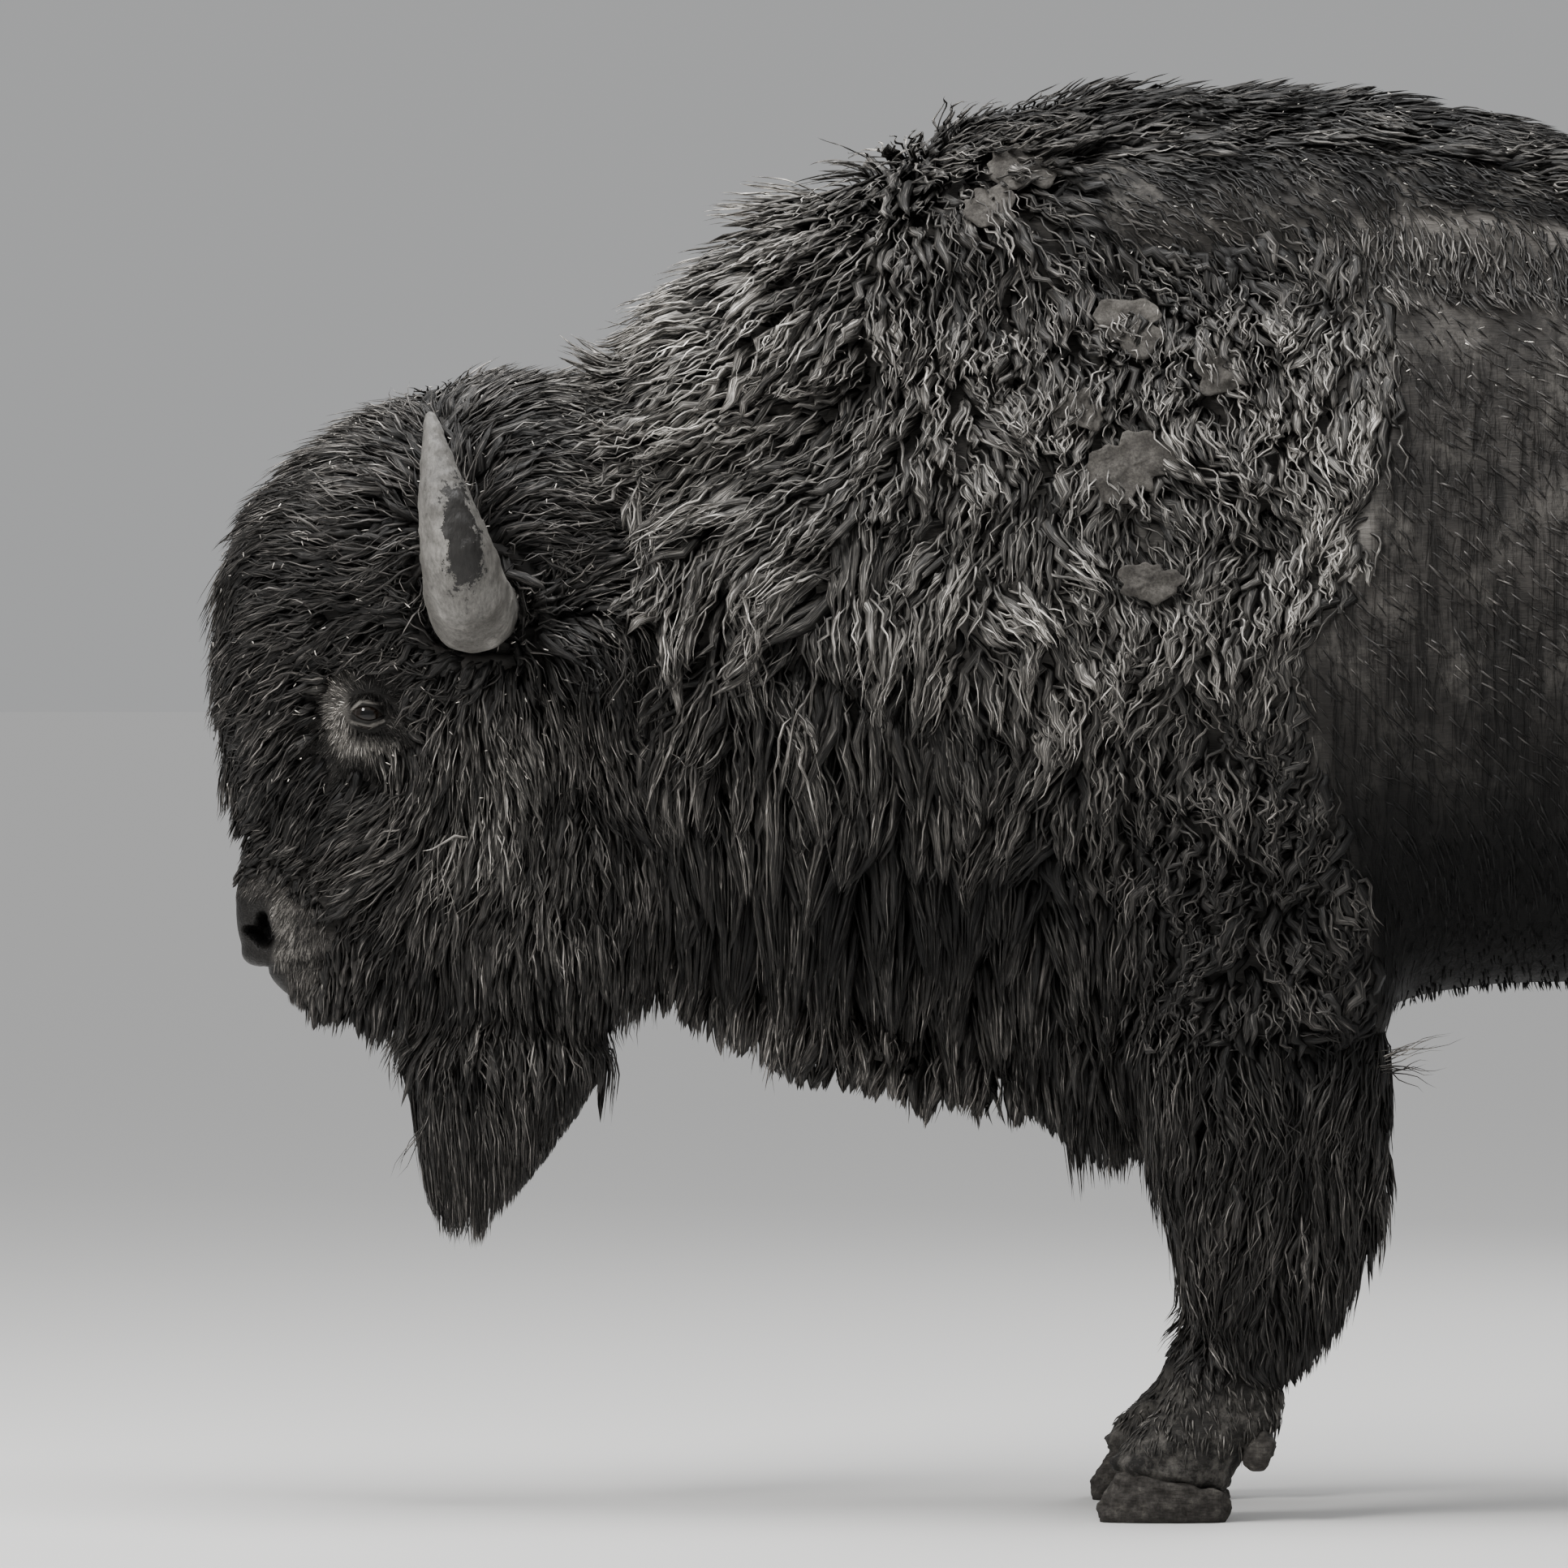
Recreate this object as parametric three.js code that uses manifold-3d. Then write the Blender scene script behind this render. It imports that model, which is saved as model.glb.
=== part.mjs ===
// American bison bull, standing with its head held low, as a life-size still model.
//
// Frame: millimetres, +Z up. The animal faces -X, so its left side looks along -Y. The origin is on the
// ground under the middle of its length. Every outline below is the outside of the coat.
//
// The flesh is modelled whole, from lofts and rounded lumps joined together, and then parted with thin
// cuts into the parts that a person would name. Horns, eyes, ears, muzzle and claws are fitted into it.

import * as THREE from "three";
import { LoftGeometry } from "three/addons/geometries/LoftGeometry.js";
import Module from "manifold-3d";

const wasm = await Module();
wasm.setup();

// ---------------------------------------------------------------- driving dimensions

const HUMP_HEIGHT = 1800; // ground to the top of the hump
const LENGTH = 2950; // front of the forehead to the back of the tail
const FOREHEAD_X = -LENGTH / 2;
const TAIL_X = LENGTH / 2;

const GAP = 0.4; // the thin cut between neighbouring parts
const FACET = 4; // how far the flat facets may stray from the round forms
const FAR = 4000; // further than any part reaches

const EYE = { x: -1254, y: 151, z: 998, radius: 21 };
const CLAW_HEIGHT = 78; // sole to the top of the horny wall
const CLAW_SPREAD = 33; // middle of the foot to the middle of a claw
const FORE_FOOT = { x: -263, y: 190 }; // middle of the sole of each forefoot
const HIND_FOOT = { x: 1205, y: 185 };

const SIDES = { left: -1, right: 1 }; // the sign of Y on each side

// ---------------------------------------------------------------- outlines

// Neck and trunk, from the nape to the rump. At each x: the back line, the belly line, the half width
// and the level of the widest place, and how full the section is above and below it (2 is an ellipse).
const BODY = [
  { x: -1010, back: 1395, belly: 700, half: 190, widest: 1080, roof: 2.0, keel: 1.9 },
  { x: -950, back: 1446, belly: 622, half: 228, widest: 1065, roof: 1.9, keel: 1.7 },
  { x: -870, back: 1536, belly: 606, half: 262, widest: 1065, roof: 1.85, keel: 1.6 },
  { x: -720, back: 1646, belly: 522, half: 308, widest: 1085, roof: 1.75, keel: 1.5 },
  { x: -500, back: 1742, belly: 470, half: 350, widest: 1090, roof: 1.7, keel: 1.45 },
  { x: -300, back: 1787, belly: 428, half: 372, widest: 1070, roof: 1.7, keel: 1.5 },
  { x: -110, back: HUMP_HEIGHT, belly: 510, half: 366, widest: 1050, roof: 1.75, keel: 1.8 },
  { x: 50, back: 1789, belly: 632, half: 344, widest: 1020, roof: 1.8, keel: 2.2 },
  { x: 244, back: 1738, belly: 650, half: 334, widest: 990, roof: 1.85, keel: 2.3 },
  { x: 480, back: 1622, belly: 655, half: 336, widest: 965, roof: 1.95, keel: 2.3 },
  { x: 700, back: 1506, belly: 674, half: 322, widest: 980, roof: 2.1, keel: 2.2 },
  { x: 900, back: 1430, belly: 722, half: 296, widest: 1020, roof: 2.2, keel: 2.1 },
  { x: 1080, back: 1404, belly: 800, half: 276, widest: 1080, roof: 2.2, keel: 2.0 },
  { x: 1230, back: 1370, belly: 860, half: 248, widest: 1110, roof: 2.1, keel: 2.0 },
  { x: 1340, back: 1300, belly: 892, half: 196, widest: 1105, roof: 2.0, keel: 2.0 },
  { x: 1396, back: 1222, belly: 935, half: 130, widest: 1085, roof: 2.0, keel: 2.0 },
  { x: 1420, back: 1150, belly: 1000, half: 55, widest: 1075, roof: 2.0, keel: 2.0 },
];

// Head with its shaggy mop, from the jaw up to the crown. At each level: how far it reaches forwards
// and back, the half width, how much narrower it is in front, and how full the section is.
const HEAD = [
  { z: 578, front: -1215, back: -950, half: 62, taper: 0.1, full: 2.0 },
  { z: 605, front: -1284, back: -920, half: 100, taper: 0.3, full: 2.0 },
  { z: 640, front: -1330, back: -900, half: 126, taper: 0.42, full: 2.1 },
  { z: 690, front: -1368, back: -880, half: 150, taper: 0.46, full: 2.2 },
  { z: 745, front: -1392, back: -870, half: 164, taper: 0.44, full: 2.3 },
  { z: 800, front: -1421, back: -865, half: 172, taper: 0.36, full: 2.4 },
  { z: 850, front: -1448, back: -860, half: 177, taper: 0.26, full: 2.5 },
  { z: 920, front: -1467, back: -858, half: 178, taper: 0.14, full: 2.6 },
  { z: 998, front: FOREHEAD_X, back: -856, half: 181, taper: 0.05, full: 2.7 },
  { z: 1070, front: FOREHEAD_X, back: -856, half: 212, taper: 0.04, full: 2.6 },
  { z: 1160, front: -1469, back: -858, half: 236, taper: 0.05, full: 2.4 },
  { z: 1250, front: -1442, back: -862, half: 238, taper: 0.05, full: 2.3 },
  { z: 1325, front: -1374, back: -875, half: 220, taper: 0.05, full: 2.2 },
  { z: 1385, front: -1282, back: -895, half: 184, taper: 0.05, full: 2.1 },
  { z: 1422, front: -1195, back: -925, half: 130, taper: 0.0, full: 2.0 },
  { z: 1440, front: -1120, back: -965, half: 58, taper: 0.0, full: 2.0 },
];

// Beard, from its tip up to inside the jaw: the same measures as the head.
const BEARD = [
  { z: 340, front: -1160, back: -1120, half: 14, taper: 0.0, full: 2.0 },
  { z: 352, front: -1180, back: -1098, half: 34, taper: 0.0, full: 2.0 },
  { z: 390, front: -1195, back: -1060, half: 60, taper: 0.1, full: 2.0 },
  { z: 450, front: -1205, back: -1016, half: 82, taper: 0.1, full: 2.0 },
  { z: 520, front: -1217, back: -968, half: 96, taper: 0.1, full: 2.1 },
  { z: 580, front: -1228, back: -936, half: 102, taper: 0.1, full: 2.1 },
  { z: 640, front: -1236, back: -915, half: 104, taper: 0.1, full: 2.1 },
];

// Legs, from inside the body down to the coronet. At each place: x, y and z of the middle of the leg,
// and half its depth, fore and aft, and half its width. The forelegs wear long hair down to the fetlock.
const FORELEG = [
  { x: -205, y: 150, z: 1130, depth: 150, width: 130 },
  { x: -185, y: 200, z: 960, depth: 205, width: 148 },
  { x: -158, y: 205, z: 780, depth: 196, width: 146 },
  { x: -146, y: 202, z: 620, depth: 180, width: 132 },
  { x: -136, y: 198, z: 480, depth: 166, width: 118 },
  { x: -134, y: 194, z: 386, depth: 156, width: 106 },
  { x: -139, y: 192, z: 310, depth: 134, width: 94 },
  { x: -158, y: 190, z: 235, depth: 102, width: 76 },
  { x: -190, y: 190, z: 165, depth: 66, width: 58 },
  { x: -222, y: 190, z: 112, depth: 62, width: 56 },
  { x: -243, y: 190, z: 62, depth: 66, width: 56 },
];
const HINDLEG = [
  { x: 1130, y: 120, z: 1230, depth: 170, width: 110 },
  { x: 1125, y: 165, z: 1080, depth: 228, width: 128 },
  { x: 1128, y: 182, z: 920, depth: 222, width: 124 },
  { x: 1172, y: 190, z: 780, depth: 166, width: 106 },
  { x: 1252, y: 192, z: 650, depth: 106, width: 78 },
  { x: 1312, y: 190, z: 545, depth: 76, width: 58 },
  { x: 1312, y: 188, z: 450, depth: 60, width: 48 },
  { x: 1302, y: 186, z: 330, depth: 50, width: 42 },
  { x: 1290, y: 185, z: 215, depth: 48, width: 42 },
  { x: 1276, y: 185, z: 155, depth: 55, width: 50 },
  { x: 1246, y: 185, z: 105, depth: 54, width: 52 },
  { x: 1226, y: 185, z: 60, depth: 60, width: 54 },
];

// Tail and horns: x, y and z of the middle, and the radius.
const TAIL = [
  { x: 1372, y: 0, z: 1262, radius: 44 },
  { x: 1418, y: 0, z: 1232, radius: 36 },
  { x: 1445, y: 0, z: 1160, radius: 27 },
  { x: 1450, y: 0, z: 1060, radius: 23 },
  { x: 1450, y: 0, z: 960, radius: 22 },
  { x: 1447, y: 0, z: 900, radius: 28 },
  { x: 1443, y: 0, z: 830, radius: 31 },
  { x: 1440, y: 0, z: 760, radius: 24 },
  { x: 1438, y: 0, z: 705, radius: 8 },
];
const TAIL_TUFT_TOP = 915;
const HORN = [
  { x: -1116, y: 150, z: 1130, radius: 55 },
  { x: -1122, y: 222, z: 1126, radius: 56 },
  { x: -1129, y: 272, z: 1150, radius: 54 },
  { x: -1141, y: 298, z: 1205, radius: 46 },
  { x: -1154, y: 302, z: 1258, radius: 35 },
  { x: -1163, y: 296, z: 1306, radius: 23 },
  { x: -1170, y: 288, z: 1350, radius: 13 },
  { x: -1173, y: 284, z: 1374, radius: 7 },
];
const EAR = [
  { x: -1040, y: 170, z: 1078, depth: 17, width: 26 },
  { x: -1010, y: 215, z: 1076, depth: 19, width: 36 },
  { x: -980, y: 254, z: 1060, depth: 17, width: 40 },
  { x: -955, y: 284, z: 1040, depth: 13, width: 30 },
  { x: -940, y: 300, z: 1026, depth: 6, width: 9 },
];

// ---------------------------------------------------------------- making solids

// A three.js geometry as a manifold-3d solid, its doubled seam and cap points made one.
function solid(geometry) {
  const points = geometry.attributes.position;
  const mesh = new wasm.Mesh({
    numProp: 3,
    vertProperties: new Float32Array(points.array),
    triVerts: new Uint32Array(geometry.index.array),
  });
  mesh.merge();
  return new wasm.Manifold(mesh);
}

// Rows of named numbers as one function of the row position u, from 0 to rows.length - 1, that passes
// through every row and bends smoothly between them, with the rows' own spacing along the key.
function through(rows, key) {
  const names = Object.keys(rows[0]);
  const slope = (i, name) => {
    const a = rows[Math.max(i - 1, 0)];
    const b = rows[Math.min(i + 1, rows.length - 1)];
    return (b[name] - a[name]) / (b[key] - a[key]);
  };
  return (u) => {
    const i = Math.min(Math.floor(u), rows.length - 2);
    const [a, b] = [rows[i], rows[i + 1]];
    const t = u - i;
    const span = b[key] - a[key];
    const at = {};
    for (const name of names) {
      const [ma, mb] = [slope(i, name) * span, slope(i + 1, name) * span];
      const c = 3 * (b[name] - a[name]) - 2 * ma - mb;
      const d = 2 * (a[name] - b[name]) + ma + mb;
      at[name] = a[name] + t * (ma + t * (c + t * d));
    }
    return at;
  };
}

// The rows of a table with others set evenly between them, steps to each stretch.
function fill(rows, key, steps) {
  const at = through(rows, key);
  const count = (rows.length - 1) * steps;
  return Array.from({ length: count + 1 }, (_, i) => at(i / steps));
}

const power = (value, exponent) => Math.sign(value) * Math.abs(value) ** exponent;

// A ring of n points, each made from the cosine and sine of its angle.
function ring(n, place) {
  return Array.from({ length: n }, (_, i) => {
    const angle = (2 * Math.PI * i) / n;
    return place(Math.cos(angle), Math.sin(angle));
  });
}

const loft = (sections) => solid(new LoftGeometry(sections, { capStart: true, capEnd: true }));

// The neck and trunk: upright sections across the body, egg-shaped about their widest level.
function bodyLoft(rows, { around, steps }) {
  return loft(
    fill(rows, "x", steps).map((s) =>
      ring(around, (c, v) => {
        const [rise, full] = v > 0 ? [s.back - s.widest, s.roof] : [s.widest - s.belly, s.keel];
        return new THREE.Vector3(
          s.x,
          s.half * power(c, 2 / full),
          s.widest + rise * power(v, 2 / full),
        );
      }),
    ),
  );
}

// The head and beard: level sections, rounder or squarer, and narrower in front by their taper.
function levelLoft(rows, { around, steps }) {
  return loft(
    fill(rows, "z", steps).map((s) => {
      const [middle, reach] = [(s.front + s.back) / 2, (s.back - s.front) / 2];
      return ring(around, (c, v) => {
        const width = s.half * power(v, 2 / s.full) * (1 + s.taper * c);
        return new THREE.Vector3(middle + reach * power(c, 2 / s.full), width, s.z);
      });
    }),
  );
}

// A limb, tail, horn or ear: rounded sections square to the line through their middles. The width is
// measured nearest to the aside direction. grow adds to every half width, and a little to both ends,
// for the socket that a fitted part sits in.
function limbLoft(rows, { sign, around, steps, aside = [0, 1, 0], grow = 0 }) {
  const middles = rows.map((s) => new THREE.Vector3(s.x, sign * s.y, s.z));
  const line = new THREE.CatmullRomCurve3(middles, false, "centripetal");
  const sizes = new THREE.CatmullRomCurve3(
    rows.map((s) => new THREE.Vector3(s.depth ?? s.radius, s.width ?? s.radius, 0)),
  );
  const count = (rows.length - 1) * steps;
  const sections = Array.from({ length: count + 1 }, (_, i) => {
    const u = i / count;
    const [middle, size] = [line.getPoint(u), sizes.getPoint(u)];
    const along = line.getTangent(u);
    if (i === 0) middle.addScaledVector(along, -grow);
    if (i === count) middle.addScaledVector(along, grow);
    const across = new THREE.Vector3(...aside);
    across.addScaledVector(along, -across.dot(along)).normalize();
    const fore = new THREE.Vector3().crossVectors(across, along);
    return ring(around, (c, v) =>
      middle
        .clone()
        .addScaledVector(fore, c * (size.x + grow))
        .addScaledVector(across, v * (size.y + grow)),
    );
  });
  return loft(sections);
}

// A rounded lump about a centre: an ellipsoid, or fuller than one, turned by angles about X, Y and Z.
function lump({ at, reach, full = 2, turn = [0, 0, 0], detail = [12, 7], grow = 0 }) {
  const geometry = new THREE.SphereGeometry(1, ...detail);
  const position = geometry.attributes.position;
  const point = new THREE.Vector3();
  for (let i = 0; i < position.count; i += 1) {
    point.fromBufferAttribute(position, i);
    const [x, y, z] = point.toArray().map((v) => power(v, 2 / full));
    const size = (Math.abs(x) ** full + Math.abs(y) ** full + Math.abs(z) ** full) ** (1 / full);
    point.set(x, y, z).divideScalar(size);
    point.multiply(new THREE.Vector3(...reach).addScalar(grow));
    position.setXYZ(i, ...point);
  }
  geometry.applyMatrix4(new THREE.Matrix4().makeRotationFromEuler(new THREE.Euler(...turn)));
  geometry.translate(...at);
  return solid(geometry);
}

// A box between two corners.
function box(low, high) {
  const size = high.map((v, i) => v - low[i]);
  const geometry = new THREE.BoxGeometry(...size);
  geometry.translate(...high.map((v, i) => (v + low[i]) / 2));
  return solid(geometry);
}

const join = (solids) => solids.reduce((whole, s) => whole.add(s)).simplify(FACET);

// ---------------------------------------------------------------- parting

// The plane through two points of the side view, as its unit normal, facing -X and down, and offset.
function planeThrough([x0, z0], [x1, z1]) {
  const normal = new THREE.Vector3(-Math.abs(z1 - z0), 0, (x1 - x0) * Math.sign(z1 - z0));
  normal.normalize();
  return { normal: normal.toArray(), offset: normal.x * x0 + normal.z * z0 };
}

// A solid in two along a plane, with the thin cut between them: [before the plane, behind it].
function part(whole, { normal, offset }) {
  const back = normal.map((v) => -v);
  return [
    whole.trimByPlane(normal, offset + GAP / 2),
    whole.trimByPlane(back, -offset + GAP / 2),
  ];
}

// What of a solid lies in a box, and the rest without it: [inside, outside].
function partByBox(whole, low, high) {
  const cutter = box(low, high);
  const wider = box(
    low.map((v) => v - GAP),
    high.map((v) => v + GAP),
  );
  return [whole.intersect(cutter), whole.subtract(wider)];
}

const above = (whole, level) => whole.trimByPlane([0, 0, 1], level + GAP / 2);
const below = (whole, level) => whole.trimByPlane([0, 0, -1], -level + GAP / 2);

// The largest of a solid's separate pieces, without the slivers that the cuts leave on and beside it.
function largest(whole) {
  const pieces = whole.simplify(GAP / 4).decompose();
  return pieces.reduce((a, b) => (a.volume() > b.volume() ? a : b));
}

// ---------------------------------------------------------------- the parts of the animal

const nodes = {};

const HIDE = new THREE.MeshStandardMaterial({ color: 0x2b241e, roughness: 0.85, metalness: 0 });
const WOOL = new THREE.MeshStandardMaterial({ color: 0x4a3f34, roughness: 0.95, metalness: 0 });
const MOP = new THREE.MeshStandardMaterial({ color: 0x1f1a16, roughness: 0.95, metalness: 0 });
const BARE = new THREE.MeshStandardMaterial({ color: 0x25211e, roughness: 0.55, metalness: 0 });
const KERATIN = new THREE.MeshStandardMaterial({ color: 0x6b655c, roughness: 0.5, metalness: 0 });
const CORNEA = new THREE.MeshStandardMaterial({ color: 0x0c0907, roughness: 0.08, metalness: 0 });

function keep(name, made, material) {
  nodes[name] = { made, material };
}

// Fitted parts: each is made at its own size, and again grown by the gap for the socket it sits in.
function fitted(sign, grow) {
  return {
    horn: limbLoft(HORN, { sign, around: 12, steps: 1, aside: [1, 0, 0], grow }),
    ear: limbLoft(EAR, { sign, around: 8, steps: 1, aside: [0, 0, 1], grow }),
    eye: lump({
      at: [EYE.x, sign * EYE.y, EYE.z],
      reach: [EYE.radius, EYE.radius, EYE.radius],
      grow,
    }),
  };
}

// The hollow round the eye, that the lids close in on.
const eyeHollow = (sign) =>
  lump({
    at: [EYE.x, sign * (EYE.y + 36), EYE.z],
    reach: [46, 30, 30],
    turn: [0, -0.35, 0],
  });

// The bare nose pad and upper lip, and the nostrils sunk in it.
function muzzleLump(grow) {
  return lump({
    at: [-1352, 0, 728],
    reach: [72, 74, 60],
    full: 2.5,
    turn: [0, -0.22, 0],
    detail: [16, 8],
    grow,
  });
}

function nostril(sign) {
  return lump({
    at: [-1411, sign * 43, 744],
    reach: [24, 11, 18],
    turn: [0, 0.5, sign * 0.55],
    detail: [8, 6],
  });
}

// The chin under the muzzle, with the lower lip.
const chin = () =>
  lump({ at: [-1308, 0, 652], reach: [62, 66, 34], full: 2.3, turn: [0, 0.55, 0] });

// Round forms that the lofts don't carry: shoulder, hip bones, thigh and the hair under the belly.
function muscles(sign) {
  return [
    lump({ at: [-235, sign * 205, 1090], reach: [215, 172, 300], turn: [0, 0.25, 0] }),
    lump({ at: [985, sign * 150, 1290], reach: [150, 105, 92], turn: [0, 0.2, 0] }),
    lump({ at: [1318, sign * 100, 1170], reach: [82, 76, 110] }),
  ];
}

const sheath = () => lump({ at: [560, 0, 652], reach: [105, 44, 62], turn: [0, 0.35, 0] });

// A leg as one solid, grown for its socket, and in two at the level where it leaves the body.
function legSolid({ rows, sign, around, grow = 0 }) {
  return limbLoft(rows, { sign, around, steps: 1, grow });
}

const LEGS = {
  foreleg: { rows: FORELEG, around: 14, level: 600, joint: 395, foot: FORE_FOOT, size: 1 },
  hindleg: { rows: HINDLEG, around: 12, level: 800, joint: 520, foot: HIND_FOOT, size: 0.92 },
};

function wholeFlesh() {
  const limbs = Object.values(SIDES).flatMap((sign) => [
    ...Object.values(LEGS).map((leg) => above(legSolid({ ...leg, sign }), leg.level)),
    ...muscles(sign),
  ]);
  return join([
    bodyLoft(BODY, { around: 20, steps: 2 }),
    levelLoft(HEAD, { around: 20, steps: 1 }),
    levelLoft(BEARD, { around: 12, steps: 1 }),
    chin(),
    sheath(),
    ...limbs,
  ]);
}

// ---------------------------------------------------------------- feet

// One claw of a cloven foot: a flat-soled wedge, highest at the front of the coronet, with the toe at
// -X of the foot's middle and the heel behind it.
function claw({ foot, sign, offset, size }) {
  const rows = [
    { z: 0, toe: -86, heel: 74, half: 27 },
    { z: 14, toe: -88, heel: 79, half: 30 },
    { z: 40, toe: -76, heel: 78, half: 30 },
    { z: CLAW_HEIGHT, toe: -50, heel: 66, half: 27 },
  ];
  return loft(
    rows.map((s) => {
      const [middle, reach] = [(s.toe + s.heel) / 2, (s.heel - s.toe) / 2];
      return ring(10, (c, v) => {
        const width = s.half * power(v, 0.8) * (c < 0 ? 1 + 0.22 * c : 1);
        return new THREE.Vector3(
          foot.x + size * (middle + reach * c),
          sign * foot.y + offset + size * width,
          s.z * size,
        );
      });
    }),
  );
}

// The slope of the coronet: the claws stop under it, and the hairy pastern starts above it.
function coronet(foot, size) {
  return planeThrough(
    [foot.x - 60 * size, 66 * size],
    [foot.x + 90 * size, 34 * size],
  );
}

function dewclaw({ foot, sign, offset, size, grow = 0 }) {
  return lump({
    at: [foot.x + 112 * size, sign * foot.y + offset, 88 * size],
    reach: [22 * size, 17 * size, 29 * size],
    full: 2.4,
    turn: [0, 0.35, 0],
    detail: [8, 5],
    grow,
  });
}

// Makes a leg under the level where it leaves the body, parted at the knee or hock and at the coronet,
// with its claws and dewclaws fitted. Returns the body with the socket for it.
function fitLeg(name, body, { rows, around, level, joint, foot, size, sign }) {
  const leg = below(legSolid({ rows, sign, around }), level);
  const [, shankUp] = part(below(leg, joint), coronet(foot, size));
  let shank = shankUp;
  Object.entries(SIDES).forEach(([which, aside]) => {
    const place = { foot, sign, offset: aside * CLAW_SPREAD * size, size };
    const [hoof] = part(claw(place), coronet(foot, size));
    keep(`${name}_claw_${which}`, hoof, KERATIN);
    keep(`${name}_dewclaw_${which}`, dewclaw(place), KERATIN);
    shank = shank.subtract(dewclaw({ ...place, grow: GAP }));
  });
  keep(`${name}_upper`, above(leg, joint), WOOL);
  keep(`${name}_lower`, largest(shank), HIDE);
  const socket = legSolid({ rows, sign, around, grow: GAP });
  return body.subtract(socket.trimByPlane([0, 0, -1], -level - GAP / 2));
}

// ---------------------------------------------------------------- cutting the whole apart

const NAPE = planeThrough([-948, 1445], [-872, 620]);
const BEARD_TOP = 586;
const JAW_TOP = 664;
const WITHERS = planeThrough([-660, 1690], [-470, 480]);
const CAPE_EDGE = planeThrough([235, 1760], [20, 630]);
const LOIN = planeThrough([860, 1460], [800, 680]);

function makeBody() {
  let [head, body] = part(wholeFlesh(), NAPE);

  for (const [side, sign] of Object.entries(SIDES)) {
    head = head.subtract(eyeHollow(sign));
    const socket = fitted(sign, GAP);
    for (const [what, made] of Object.entries(fitted(sign, 0))) {
      head = head.subtract(socket[what]);
      body = body.subtract(socket[what]);
      keep(`${what}_${side}`, made, { horn: KERATIN, ear: MOP, eye: CORNEA }[what]);
    }
    for (const [what, leg] of Object.entries(LEGS)) {
      body = fitLeg(`${what}_${side}`, body, { ...leg, sign });
    }
  }

  const tail = (grow) => limbLoft(TAIL, { sign: 1, around: 8, steps: 1, grow });
  body = body.subtract(tail(GAP));
  keep("tail", above(tail(0), TAIL_TUFT_TOP), HIDE);
  keep("tail_tuft", below(tail(0), TAIL_TUFT_TOP), MOP);

  const muzzle = muzzleLump(0).subtract(nostril(-1)).subtract(nostril(1));
  keep("muzzle", muzzle, BARE);
  keep("beard", largest(below(head, BEARD_TOP)), MOP);
  head = above(head, BEARD_TOP).subtract(muzzleLump(GAP));
  const [jaw, skull] = partByBox(head, [-FAR, -FAR, 0], [-1165, FAR, JAW_TOP]);
  keep("lower_jaw", largest(jaw), MOP);
  keep("head", largest(skull), MOP);

  const [neck, behindNeck] = part(body, WITHERS);
  const [shoulders, behindCape] = part(behindNeck, CAPE_EDGE);
  const [barrel, rump] = part(behindCape, LOIN);
  keep("neck", largest(neck), WOOL);
  keep("shoulders", largest(shoulders), WOOL);
  keep("barrel", largest(barrel), HIDE);
  keep("rump", largest(rump), HIDE);
}

// A solid as a three.js mesh with its node's name, standing at the middle of its own box.
function meshOf(name, { made, material }) {
  const { vertProperties, triVerts } = made.getMesh();
  const geometry = new THREE.BufferGeometry();
  geometry.setAttribute("position", new THREE.BufferAttribute(vertProperties, 3));
  geometry.setIndex(new THREE.BufferAttribute(triVerts, 1));
  geometry.computeBoundingBox();
  const middle = geometry.boundingBox.getCenter(new THREE.Vector3());
  geometry.translate(-middle.x, -middle.y, -middle.z);
  geometry.computeVertexNormals();
  const mesh = new THREE.Mesh(geometry, material);
  mesh.name = name;
  mesh.position.copy(middle);
  return mesh;
}

makeBody();

// The scene graph: one group for each region of the body, holding the nodes whose names start with it.
const REGIONS = {
  head: ["head", "muzzle", "lower_jaw", "beard", "horn", "ear", "eye"],
  trunk: ["neck", "shoulders", "barrel", "rump", "tail"],
  forelegs: ["foreleg"],
  hindlegs: ["hindleg"],
};
const bison = new THREE.Group();
for (const [region, starts] of Object.entries(REGIONS)) {
  const group = new THREE.Group();
  group.name = region;
  for (const [name, node] of Object.entries(nodes)) {
    if (starts.some((start) => name.startsWith(start))) group.add(meshOf(name, node));
  }
  bison.add(group);
}

export default bison;
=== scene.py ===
"""American bison bull, life size: one skin, a coat of modelled locks, horns, claws and eyes.

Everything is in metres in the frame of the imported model: the head faces -X, the left side -Y, +Z is up.
The coat's locks are joined meshes, grown from roots spread over the skin along the lie of the coat.
"""

import math

import bmesh
import bpy
import numpy as np
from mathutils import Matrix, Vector
from mathutils.bvhtree import BVHTree
from mathutils.kdtree import KDTree


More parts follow.
